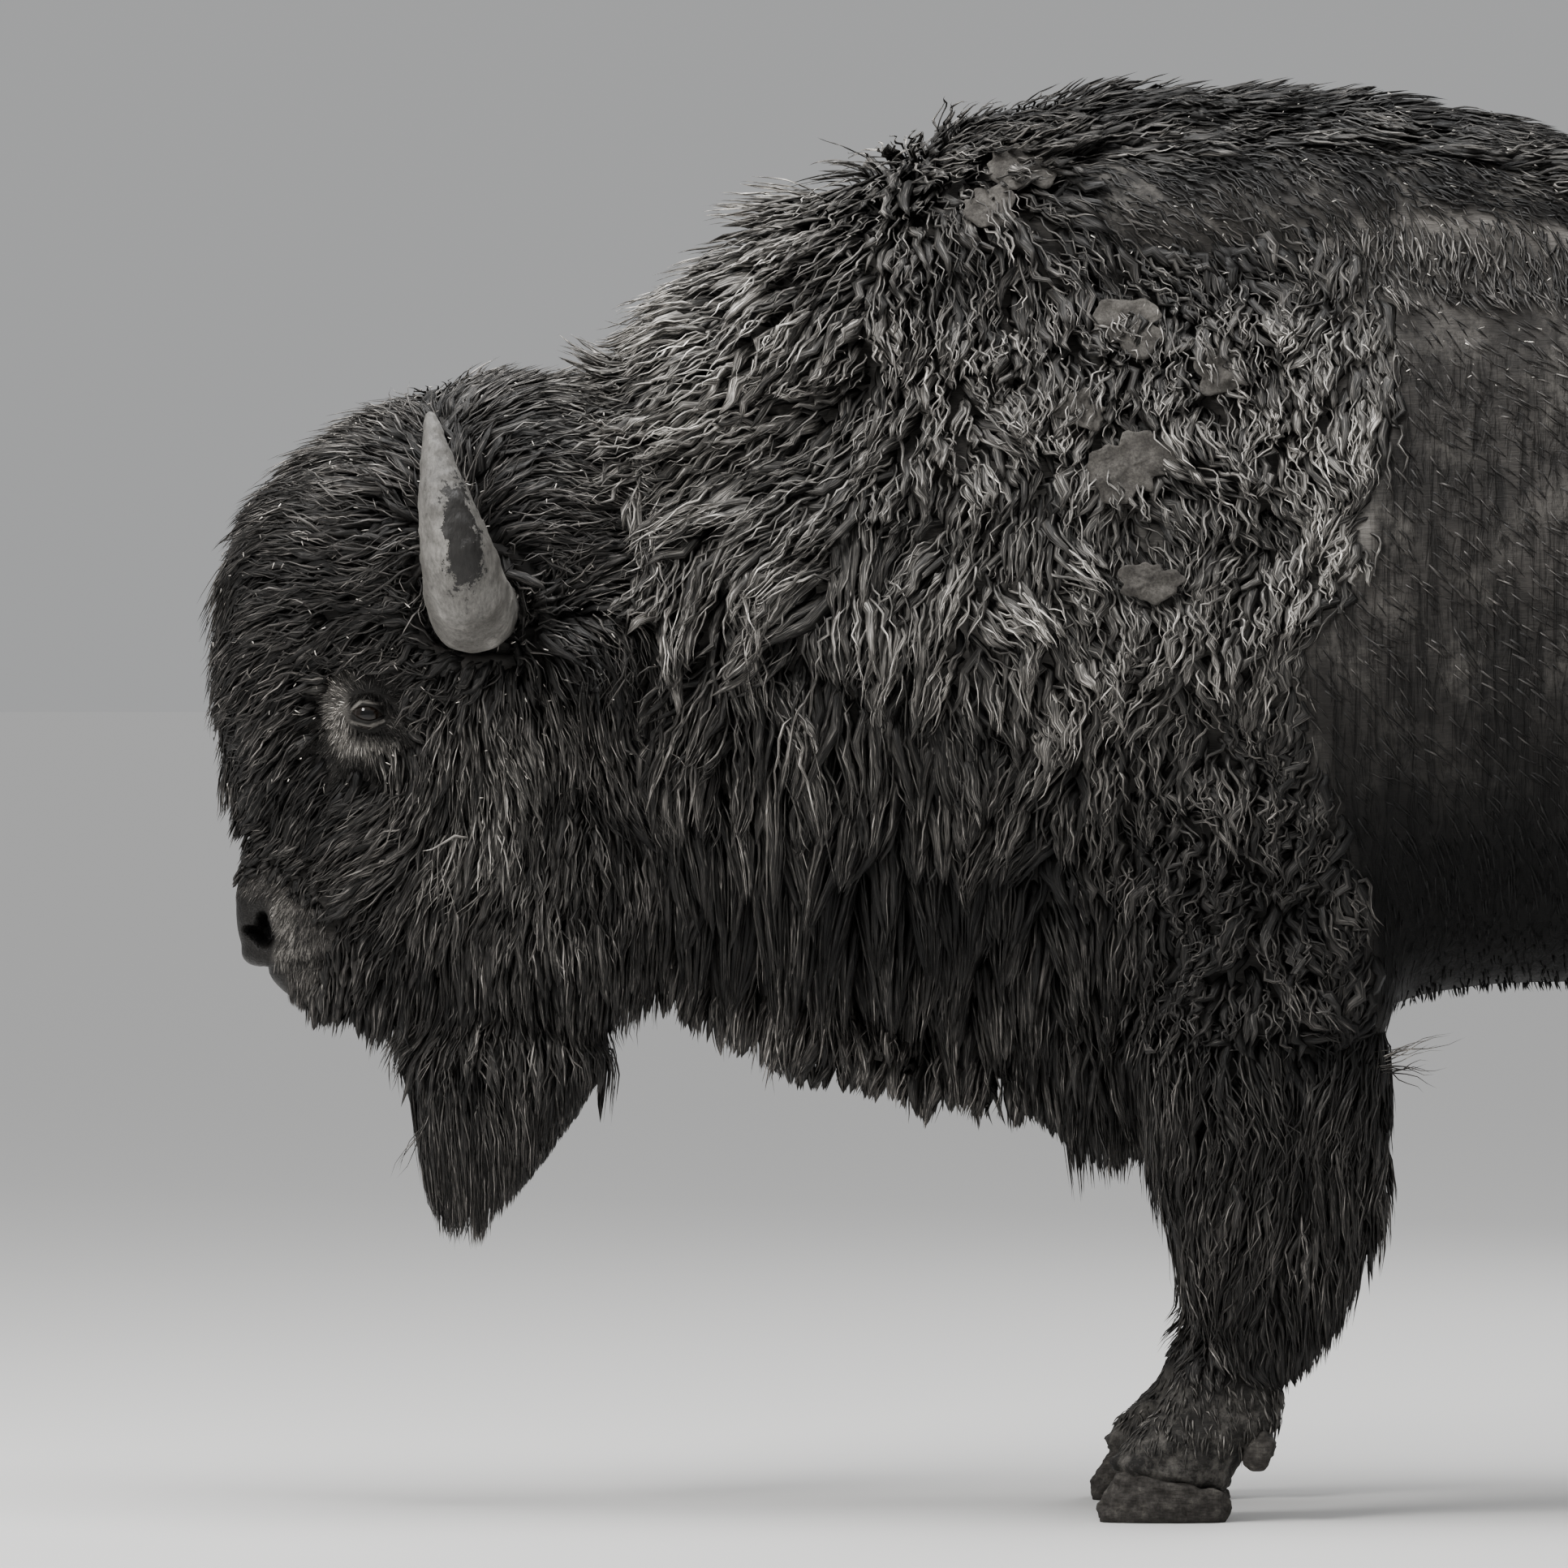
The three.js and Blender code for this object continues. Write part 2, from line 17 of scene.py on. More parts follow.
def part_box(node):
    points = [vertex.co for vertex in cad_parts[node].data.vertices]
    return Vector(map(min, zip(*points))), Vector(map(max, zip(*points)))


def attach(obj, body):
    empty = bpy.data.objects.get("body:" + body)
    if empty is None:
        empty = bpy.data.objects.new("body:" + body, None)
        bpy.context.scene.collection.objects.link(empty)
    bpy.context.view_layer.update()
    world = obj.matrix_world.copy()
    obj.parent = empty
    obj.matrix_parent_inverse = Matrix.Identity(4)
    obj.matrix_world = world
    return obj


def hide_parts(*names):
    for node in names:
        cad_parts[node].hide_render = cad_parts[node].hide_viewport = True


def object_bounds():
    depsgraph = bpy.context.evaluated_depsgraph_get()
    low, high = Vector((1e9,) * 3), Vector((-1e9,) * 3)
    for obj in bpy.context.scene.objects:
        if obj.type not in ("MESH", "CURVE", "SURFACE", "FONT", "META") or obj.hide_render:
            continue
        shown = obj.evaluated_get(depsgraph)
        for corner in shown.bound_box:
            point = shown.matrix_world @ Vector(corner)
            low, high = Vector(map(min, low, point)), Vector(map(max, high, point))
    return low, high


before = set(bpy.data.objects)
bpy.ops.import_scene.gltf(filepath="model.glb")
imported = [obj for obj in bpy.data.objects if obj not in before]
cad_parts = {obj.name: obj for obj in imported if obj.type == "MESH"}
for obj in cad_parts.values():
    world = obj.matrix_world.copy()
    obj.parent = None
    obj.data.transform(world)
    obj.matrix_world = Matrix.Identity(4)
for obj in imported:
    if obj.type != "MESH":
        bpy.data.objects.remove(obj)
CAD_BOX = [list(corner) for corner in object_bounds()]

# ---------------------------------------------------------------- driving values

SEED = 7
DENSITY = 1.0  # share of the locks that are grown
SKIN_VOXEL = 0.0115
SIDES = {"left": -1, "right": 1}

LOW, HIGH = (np.array(corner) for corner in CAD_BOX)
LENGTH = HIGH[0] - LOW[0]


def middle(node):
    low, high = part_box(node)
    return np.array((low + high) / 2)


EYE = middle("eye_left")
EYE_RADIUS = (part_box("eye_left")[1].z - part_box("eye_left")[0].z) / 2
HORN = middle("horn_left")
HORN_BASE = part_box("horn_left")[0].z
MUZZLE = middle("muzzle")
NOSE_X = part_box("muzzle")[0].x
LIP_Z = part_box("muzzle")[0].z
JAW_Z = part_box("lower_jaw")[0].z
CAPE_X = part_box("barrel")[0].x  # where the long wool ends at the belly
FETLOCK_Z = 0.16
FOOT_TOP = 0.20  # the feet are shaped by sections of their own below this
TAIL_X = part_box("tail_tuft")[0].x - 0.02

FLESH = [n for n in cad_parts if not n.startswith(("horn", "eye")) and "claw" not in n]

# ---------------------------------------------------------------- small tools


def smoothstep(low, high, value):
    t = np.clip((value - low) / (high - low), 0, 1)
    return t * t * (3 - 2 * t)


def side_blob(p, x, z, rx, rz):
    """1 at a place of the side view, fading to 0 around it, on both sides of the body."""
    return np.exp(-(((p[:, 0] - x) / rx) ** 2) - ((p[:, 2] - z) / rz) ** 2)


class Waves:
    """A smooth random field: waves of about one length, running every way."""

    def __init__(self, seed, length, count=14):
        rng = np.random.default_rng(seed)
        way = rng.normal(size=(count, 3))
        way /= np.linalg.norm(way, axis=1)[:, None]
        self.k = way * (2 * math.pi / length) * rng.uniform(0.6, 1.5, (count, 1))
        self.phase = rng.uniform(0, 2 * math.pi, count)
        self.scale = math.sqrt(2 / count)

    def __call__(self, p):
        return np.sin(p @ self.k.T + self.phase).sum(axis=1) * self.scale


def unit(v):
    return v / np.maximum(np.linalg.norm(v, axis=-1), 1e-9)[..., None]


def placed(name, data):
    """A new object of the scene that shows some data."""
    obj = bpy.data.objects.new(name, data)
    bpy.context.scene.collection.objects.link(obj)
    return obj


def smoothed(obj):
    obj.data.polygons.foreach_set("use_smooth", np.ones(len(obj.data.polygons), bool))
    return obj


def new_mesh(name, verts, faces):
    mesh = bpy.data.meshes.new(name)
    mesh.from_pydata([tuple(v) for v in verts], [], [tuple(f) for f in faces])
    mesh.validate()
    return smoothed(placed(name, mesh))


def array_mesh(name, verts, tris):
    """A mesh of triangles straight from arrays, which is quick for a great many."""
    mesh = bpy.data.meshes.new(name)
    mesh.vertices.add(len(verts))
    mesh.vertices.foreach_set("co", verts.astype(np.float32).ravel())
    mesh.loops.add(3 * len(tris))
    mesh.loops.foreach_set("vertex_index", tris.astype(np.int32).ravel())
    mesh.polygons.add(len(tris))
    mesh.polygons.foreach_set("loop_start", np.arange(0, 3 * len(tris), 3, dtype=np.int32))
    mesh.update(calc_edges=True)
    return smoothed(placed(name, mesh))


def loft(name, verts, around, corners=(0, 2, 3, 1), inside_out=False):
    """A closed mesh over rings of points, with both ends capped. corners is the order of each quad's
    corners: a point, the next one round its ring, and the same two of the next ring."""
    a = np.arange(len(verts)).reshape(-1, around)
    b = np.roll(a, -1, axis=1)
    quads = np.stack([a[:-1], b[:-1], a[1:], b[1:]], axis=-1)[..., corners].reshape(-1, 4)
    step = -1 if inside_out else 1
    return new_mesh(name, verts, quads.tolist() + [a[0, ::step].tolist(), a[-1, ::-step].tolist()])


def circle(count):
    """Angles all round a circle."""
    return np.linspace(0, 2 * math.pi, count, endpoint=False)


def power(value, exponent):
    """A power that keeps the sign."""
    return np.sign(value) * np.abs(value) ** exponent


def welded(obj):
    """The object with its doubled points joined and its faces turned outwards."""
    merged = bmesh.new()
    merged.from_mesh(obj.data)
    bmesh.ops.remove_doubles(merged, verts=merged.verts, dist=1e-5)
    bmesh.ops.recalc_face_normals(merged, faces=merged.faces)
    merged.to_mesh(obj.data)
    merged.free()
    return obj


def read(items, key, width, kind=np.int32):
    """One value of every item of a mesh, as the rows of an array."""
    values = np.empty(width * len(items), kind)
    items.foreach_get(key, values)
    return values.reshape(-1, width)


def points_of(obj):
    return read(obj.data.vertices, "co", 3, np.float32).astype(float)


def set_points(obj, co):
    obj.data.vertices.foreach_set("co", co.astype(np.float32).ravel())
    obj.data.update()


def normals_of(obj):
    return read(obj.data.vertex_normals, "vector", 3, np.float32).astype(float)


def edges_of(obj):
    return read(obj.data.edges, "vertices", 2)


def paint(obj, colour, alpha=1.0, label="coat"):
    """Gives each point of a mesh a colour and an alpha, under a label."""
    layer = obj.data.color_attributes.new(label, "FLOAT_COLOR", "POINT")
    rgba = np.column_stack([colour, np.broadcast_to(alpha, len(colour))])
    layer.data.foreach_set("color", rgba.astype(np.float32).ravel())


def add_map(obj, label, uv):
    obj.data.uv_layers.new(name=label).data.foreach_set("uv", uv.astype(np.float32).ravel())


def tree_of(points):
    """A search tree over some points."""
    tree = KDTree(len(points))
    for i, point in enumerate(points.tolist()):
        tree.insert(point, i)
    tree.balance()
    return tree


def relax(co, edges, rounds):
    """Moves each point halfway to the middle of its neighbours, a number of times."""
    count = len(co)
    ends = np.concatenate([edges[:, 0], edges[:, 1]])
    others = np.concatenate([edges[:, 1], edges[:, 0]])
    degree = np.maximum(np.bincount(ends, minlength=count), 1)
    for _ in range(rounds):
        mean = np.column_stack([np.bincount(ends, co[others, axis], count) / degree for axis in range(3)])
        co = co + 0.5 * (mean - co)
    return co


def applied(obj, kind, **settings):
    """The object with one modifier applied to its mesh."""
    modifier = obj.modifiers.new(kind, kind)
    for key, value in settings.items():
        setattr(modifier, key, value)
    graph = bpy.context.evaluated_depsgraph_get()
    mesh = bpy.data.meshes.new_from_object(obj.evaluated_get(graph))
    obj.modifiers.clear()
    old = obj.data
    obj.data = mesh
    bpy.data.meshes.remove(old)
    return obj


def joined_copy(name, nodes):
    """One mesh of copies of some CAD nodes."""
    merged = bmesh.new()
    for node in nodes:
        merged.from_mesh(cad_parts[node].data)
    mesh = bpy.data.meshes.new(name)
    merged.to_mesh(mesh)
    merged.free()
    return placed(name, mesh)


def remeshed(obj, voxel):
    return applied(obj, "REMESH", mode="VOXEL", voxel_size=voxel)


# ---------------------------------------------------------------- the regions of the coat

# The rear edge of the long wool on the side: how far back it reaches at each level.
CAPE_EDGE = np.array([
    # level, distance behind the front of the barrel's solid
    [0.60, -0.020],
    [0.72, -0.030],
    [0.82, -0.055],
    [0.92, -0.085],
    [1.00, -0.120],
    [1.07, -0.130],
    [1.12, -0.095],
    [1.16, -0.055],
    [1.20, -0.042],
    [1.30, -0.022],
    [1.40, -0.006],
    [1.46, -0.002],
    [1.54, -0.025],
    [1.60, -0.100],
    [1.66, -0.180],
])
# The lower edge of the wool along the throat and chest.
CHEST_LINE = np.array([
    # along, level
    [-0.88, 0.615],
    [-0.815, 0.576],
    [-0.722, 0.527],
    [-0.635, 0.514],
    [-0.565, 0.499],
    [-0.451, 0.484],
    [-0.400, 0.464],
    [-0.355, 0.438],
    [-0.298, 0.383],
    [-0.270, 0.362],
])
CHEST_ROOM = 0.050  # how far above that edge the skin stays
RIDGE_BAND = 0.088  # height of the long wool along the back
FRINGE_BAND = 0.095  # height of the frayed band under the smooth saddle
BEARD_END = 0.055  # length of the beard's hair below its core


def chest_floor(p):
    """How low the wool hangs along the throat and chest."""
    return np.interp(p[:, 0], CHEST_LINE[:, 0], CHEST_LINE[:, 1])


def cape_edge(p):
    """How far back the long wool of the side reaches."""
    return CAPE_X + np.interp(p[:, 2], CAPE_EDGE[:, 0], CAPE_EDGE[:, 1])


class Regions:
    """Where each kind of coat lies, as weights from 0 to 1 at points of the body."""

    def __init__(self, body):
        co = points_of(body)
        bins = np.linspace(LOW[0], HIGH[0], 60)
        which = np.clip(np.digitize(co[:, 0], bins) - 1, 0, len(bins) - 2)
        trunk = co[:, 2] > 0.9
        tops = [co[trunk & (which == i), 2].max(initial=1.0) for i in range(len(bins) - 1)]
        self.xs = (bins[1:] + bins[:-1]) / 2
        self.tops = np.array(tops)

    def below_back(self, p):
        return np.interp(p[:, 0], self.xs, self.tops) - p[:, 2]

    def ridge(self, p):
        """The long swept-back wool along the back."""
        wide = (RIDGE_BAND + 0.014 * KINK_FIELD(p)) * smoothstep(0.95, 0.35, p[:, 0])
        return smoothstep(0.012, -0.012, self.below_back(p) - wide) * smoothstep(-0.55, -0.35, p[:, 0])

    def saddle_low(self, p):
        """How far below the back the smooth saddle ends and the frayed band begins."""
        return np.interp(p[:, 0], [-0.48, -0.40, -0.33, -0.25, -0.08, 0.25, 0.9],
                         [0.10, 0.15, 0.20, 0.22, 0.19, 0.14, 0.11])

    def saddle(self, p):
        """The fine swept-down hair under the ridge, ahead of where the long wool ends."""
        below = self.below_back(p)
        under_ridge = smoothstep(RIDGE_BAND - 0.01, RIDGE_BAND + 0.015, below)
        over_fringe = smoothstep(0.01, -0.015, below - self.saddle_low(p))
        return under_ridge * over_fringe * smoothstep(-0.46, -0.36, p[:, 0])

    def fringe(self, p):
        """The frayed band of pale hair under the saddle."""
        b = self.below_back(p) - self.saddle_low(p)
        inside = smoothstep(-0.008, 0.012, b) * smoothstep(FRINGE_BAND + 0.02, FRINGE_BAND - 0.02, b)
        return inside * smoothstep(-0.12, -0.06, p[:, 0]) * smoothstep(0.85, 0.45, p[:, 0])

    def front(self, p):
        """The long wool of the neck, hump and shoulder, without the smooth saddle above it."""
        edge = cape_edge(p)
        return smoothstep(edge + 0.015, edge - 0.015, p[:, 0]) * (1 - self.saddle(p))

    def crest(self, p):
        """The top of the neck and of the hump's front, where the wool stands highest."""
        along = smoothstep(-1.00, -0.90, p[:, 0]) * smoothstep(-0.15, -0.50, p[:, 0])
        return smoothstep(0.30, 0.14, self.below_back(p)) * along

    def cape(self, p):
        return np.maximum(np.maximum(self.front(p), self.ridge(p)), 0.999 * self.fringe(p))

    def head(self, p):
        return smoothstep(-0.86, -0.93, p[:, 0] + 0.10 * (p[:, 2] - 1.0))

    def beard(self, p):
        return self.head(p) * smoothstep(JAW_Z + 0.02, JAW_Z - 0.03, p[:, 2])

    def foreleg(self, p):
        low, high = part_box("foreleg_left_upper")
        away = np.maximum(low.x - p[:, 0], p[:, 0] - high.x)
        return smoothstep(0.10, 0.03, away) * smoothstep(0.66, 0.56, p[:, 2])

    def shank(self, p):
        """The short-haired foot of the foreleg, under the long hair."""
        return self.foreleg(p) * smoothstep(FETLOCK_Z + 0.04, FETLOCK_Z - 0.02, p[:, 2])

    def tuft(self, p):
        low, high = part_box("tail_tuft")
        level = smoothstep(high.z + 0.03, high.z - 0.02, p[:, 2])
        return smoothstep(low.x - 0.06, low.x - 0.03, p[:, 0]) * level

    def ear(self, p):
        low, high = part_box("ear_left")
        along = (p[:, 0] > low.x - 0.02) & (p[:, 0] < high.x + 0.02)
        level = (p[:, 2] > low.z - 0.02) & (p[:, 2] < high.z + 0.01)
        return smoothstep(-low.y - 0.135, -low.y - 0.10, np.abs(p[:, 1])) * (along & level)

    def eye_field(self, p):
        """The short-haired skin in front of and below the eye."""
        r = np.hypot((p[:, 0] - EYE[0] + 0.012) / 0.056, (p[:, 2] - EYE[2] + 0.012) / 0.066)
        return smoothstep(1.25, 0.75, r + 0.14 * FINE_FIELD(p)) * self.head(p)

    def bare(self, p):
        """The hairless pad of the nose and the upper lip."""
        x, z = p[:, 0] - NOSE_X, p[:, 2] - MUZZLE[2]
        pad = smoothstep(0.020, 0.0, x - 0.046 + 0.25 * np.abs(z + 0.01)) * smoothstep(0.050, 0.034, z)
        over_lip = p[:, 2] - LIP_Z - 0.024 + 0.30 * (x - 0.02)
        lip = smoothstep(0.012, 0.0, over_lip) * smoothstep(0.075, 0.055, x)
        return np.maximum(pad, lip) * self.head(p) * smoothstep(0.63, 0.65, p[:, 2])

    def nose(self, p):
        """The short-haired muzzle around the bare pad."""
        rise = p[:, 2] - MUZZLE[2] + 0.010
        r = np.hypot(p[:, 0] - NOSE_X - 0.02, rise * np.where(rise > 0, 1.25, 0.80))
        return smoothstep(0.115, 0.075, r) * self.head(p)

    def face(self, p):
        return np.maximum(self.eye_field(p), self.nose(p))

    def depth(self, p):
        """How far the skin lies under the tips of the coat."""
        x, z = p[:, 0], p[:, 2]
        edge = cape_edge(p)
        low = smoothstep(0.10, 0.30, self.below_back(p) + (x < -0.35))
        front = smoothstep(edge + 0.02, edge - 0.10, x) * low * (1 - 0.8 * self.saddle(p))
        d = 0.007 + 0.036 * front + 0.022 * front * smoothstep(-0.45, -0.7, x)
        d = np.maximum(d, 0.007 + 0.022 * self.ridge(p))
        d = np.maximum(d, 0.007 + 0.012 * self.fringe(p))
        chest = smoothstep(-0.98, -0.85, x) * smoothstep(-0.25, -0.40, x)
        d += 0.035 * front * smoothstep(0.78, 0.58, z) * chest
        d -= 0.034 * self.crest(p)
        d = d + (0.030 - d) * self.foreleg(p)
        d = d * (1 - self.shank(p)) + 0.004 * self.shank(p)
        d = d * (1 - self.head(p)) + 0.045 * self.head(p)
        beard = 0.012 + BEARD_END * smoothstep(JAW_Z - 0.15, JAW_Z - 0.22, z)
        d = np.where(self.beard(p) > 0.5, beard, d)
        d = d + (0.014 - d) * smoothstep(0.20, 0.16, z)
        # The tail is let out, because smoothing the skin draws it in.
        tail = smoothstep(TAIL_X - 0.03, TAIL_X, x) * smoothstep(0.68, 0.74, z)
        d = d + (-0.006 - d) * tail
        return d * (1 - self.ear(p)) + 0.009 * self.ear(p)


# ---------------------------------------------------------------- the skin

# The bare head under the mop, in level sections: how far each reaches forwards and back, its half
# width, and how much narrower it is in front.
FACE_SECTIONS = np.array([
    # level, front, back, half width, taper
    [0.634, -1.338, -1.255, 0.030, 0.00],
    [0.642, -1.354, -1.200, 0.050, 0.05],
    [0.660, -1.375, -1.150, 0.063, 0.08],
    [0.672, -1.384, -1.125, 0.068, 0.08],
    [0.684, -1.404, -1.105, 0.074, 0.05],
    [0.710, -1.417, -1.080, 0.079, 0.04],
    [0.745, -1.423, -1.055, 0.080, 0.06],
    [0.775, -1.421, -1.035, 0.082, 0.14],
    [0.800, -1.414, -1.010, 0.088, 0.24],
    [0.850, -1.404, -0.975, 0.104, 0.34],
    [0.900, -1.400, -0.950, 0.128, 0.36],
    [0.950, -1.398, -0.930, 0.152, 0.32],
    [1.000, -1.396, -0.915, 0.167, 0.24],
    [1.050, -1.390, -0.905, 0.171, 0.16],
    [1.120, -1.372, -0.905, 0.174, 0.10],
    [1.200, -1.330, -0.920, 0.168, 0.06],
    [1.270, -1.262, -0.950, 0.146, 0.04],
    [1.330, -1.165, -0.990, 0.100, 0.00],
    [1.358, -1.110, -1.030, 0.040, 0.00],
])
FULLNESS = 2.5  # of the face's sections: 2 is an ellipse, more is squarer
AROUND = 200
# Soft forms at the sides of the face: middle, reach each way, height and turn, in the side view.
BROW = ((EYE[0] + 0.01, EYE[2] + 0.035), (0.05, 0.024), 0.012, 0.3)
FACE_FORMS = [
    BROW,
    ((EYE[0] - 0.02, EYE[2] - 0.055), (0.05, 0.022), 0.006, 0.8),  # the ridge below the eye
    ((EYE[0] + 0.17, EYE[2] - 0.16), (0.10, 0.09), 0.010, 0.0),  # the jaw's muscle
    ((NOSE_X + 0.10, MUZZLE[2] + 0.07), (0.045, 0.035), -0.008, 0.7),  # the hollow behind the nose
]


def face_levels():
    """Levels of the face's rings: close together at the mouth, nose and eye, wider elsewhere."""
    levels = [FACE_SECTIONS[0, 0]]
    while levels[-1] < FACE_SECTIONS[-1, 0]:
        z = levels[-1]
        near = math.exp(-(((z - MUZZLE[2]) / 0.075) ** 2)) + math.exp(-(((z - EYE[2]) / 0.04) ** 2))
        levels.append(z + 0.0060 - 0.0040 * min(near, 1))
    return np.array(levels[:-1] + [FACE_SECTIONS[-1, 0]])


def smooth_rows(table, at):
    """The table's columns at other values of its first column, along a smooth curve."""
    key = table[:, 0]
    slopes = np.gradient(table, key, axis=0)
    i = np.clip(np.searchsorted(key, at, "right") - 1, 0, len(key) - 2)
    h = (key[i + 1] - key[i])[:, None]
    t = ((at - key[i]) / h[:, 0])[:, None]
    a, b, ma, mb = table[i], table[i + 1], slopes[i] * h, slopes[i + 1] * h
    c = 3 * (b - a) - 2 * ma - mb
    d = 2 * (a - b) + ma + mb
    return a + t * (ma + t * (c + t * d))


def make_face():
    """The head's skin as one closed grid of rings, with the nostrils, lips, eye hollows and folds."""
    rows = smooth_rows(FACE_SECTIONS, face_levels())
    # Angle 0 is the front. More of the ring's points lie in its front half.
    turn = np.linspace(-1, 1, AROUND, endpoint=False)
    angle = math.pi * (turn - 0.12 * np.sin(math.pi * turn))
    forward, across = np.cos(angle), np.sin(angle)
    verts = []
    for z, front, back, half, taper in rows:
        centre, reach = (front + back) / 2, (back - front) / 2
        x = centre - reach * power(forward, 2 / FULLNESS)
        y = half * power(across, 2 / FULLNESS) * (1 - taper * forward)
        verts.append(np.column_stack([x, y, np.full(AROUND, z)]))
    face = loft("face", np.concatenate(verts), AROUND)
    sculpt_face(face)
    return face


def bump_out(p, centre, reach, height, turn=0.0):
    """Height of a soft bump over an ellipse of the side view, turned by an angle, on both sides."""
    dx, dz = p[:, 0] - centre[0], p[:, 2] - centre[1]
    a = dx * math.cos(turn) + dz * math.sin(turn)
    b = -dx * math.sin(turn) + dz * math.cos(turn)
    return height * np.exp(-((a / reach[0]) ** 2) - (b / reach[1]) ** 2)


def stroke(p, start, end, radius, end_radius):
    """1 inside a tapering stroke drawn on the side view, fading to 0 just outside it."""
    along = np.array(end) - start
    q = p[:, [0, 2]] - start
    t = np.clip(q @ along / (along @ along), 0, 1)
    away = np.linalg.norm(q - t[:, None] * along, axis=1) / (radius + (end_radius - radius) * t)
    return smoothstep(1.40, 0.60, away)


def nostril_pits(p):
    """1 in the comma-shaped nostrils, 0 outside them."""
    heart = np.array([NOSE_X + 0.036, MUZZLE[2] - 0.009])
    front = stroke(p, heart, heart + (-0.019, 0.006), 0.0125, 0.0060)
    upper = stroke(p, heart, heart + (-0.001, 0.024), 0.0115, 0.0052)
    pit = np.maximum(front, upper)
    return pit * smoothstep(0.010, 0.026, np.abs(p[:, 1])) * (p[:, 0] < NOSE_X + 0.12)


def sculpt_face(face):
    """Pushes the face's points in and out along their normals for its forms."""
    co = points_of(face)
    flank = smoothstep(0.02, 0.05, np.abs(co[:, 1]))  # the forms at the sides fade at the middle
    n = normals_of(face)
    move = np.zeros(len(co))
    for form in FACE_FORMS:
        move += flank * bump_out(co, *form)
    # Lips: a slit all round the mouth, with a fuller upper lip over it.
    mouth = LIP_Z + 0.010 + 0.16 * np.maximum(co[:, 0] - NOSE_X - 0.045, 0)
    in_front = smoothstep(NOSE_X + 0.17, NOSE_X + 0.13, co[:, 0])
    slit = np.exp(-(((co[:, 2] - mouth) / 0.0035) ** 2)) * in_front
    lip = np.exp(-(((co[:, 2] - mouth - 0.016) / 0.012) ** 2)) * in_front
    move += 0.0035 * lip - 0.009 * slit
    # Folds over the upper lip, running down from the nostril.
    folds = np.sin((co[:, 0] * 0.95 + co[:, 2] * 0.25) * 2 * math.pi / 0.011)
    move += 0.0006 * folds * bump_out(co, (NOSE_X + 0.055, MUZZLE[2] - 0.02), (0.028, 0.036), 1.0)
    co += n * move[:, None]
    set_points(face, co)
    # Nostrils: a comma-shaped pit with a raised wing behind and above it.
    co, n = points_of(face), normals_of(face)
    x, z = NOSE_X + 0.031, MUZZLE[2] - 0.002
    side = smoothstep(0.010, 0.026, np.abs(co[:, 1]))
    pit = nostril_pits(co)
    wing = bump_out(co, (x + 0.021, z + 0.008), (0.0080, 0.030), 1.0, 0.20)
    pad = bump_out(co, (x - 0.016, z + 0.018), (0.014, 0.012), 1.0)
    n_in = unit(n * np.array([0.6, 1.0, 0.6]))
    co += n_in * (side * (0.0075 * wing * (1 - pit) + 0.003 * pad * (1 - pit) - 0.030 * pit))[:, None]
    # The eye's hollow, which the lids stand in.
    hollow = smoothstep(0.030, 0.016, np.hypot(co[:, 0] - EYE[0], (co[:, 2] - EYE[2]) * 1.1))
    hollow *= smoothstep(0.08, 0.10, np.abs(co[:, 1]))
    co[:, 1] -= np.sign(co[:, 1]) * 0.034 * hollow
    set_points(face, co)


def lid_edge(angle, half_width):
    """The eye's opening as an almond: how far out its edge is, each way from the middle."""
    c, s = np.cos(angle), np.sin(angle)
    upper, lower = 0.0105, 0.0095
    height = np.where(s > 0, upper, lower)
    droop = 1 - np.abs(c) ** 2.4
    return half_width * c, height * power(s, 0.8) * (0.35 + 0.65 * droop)


def fold(out, at, wide, depth):
    """A crease or ridge round the eye, at a distance out from its opening."""
    return depth * math.exp(-(((out - at) / wide) ** 2))


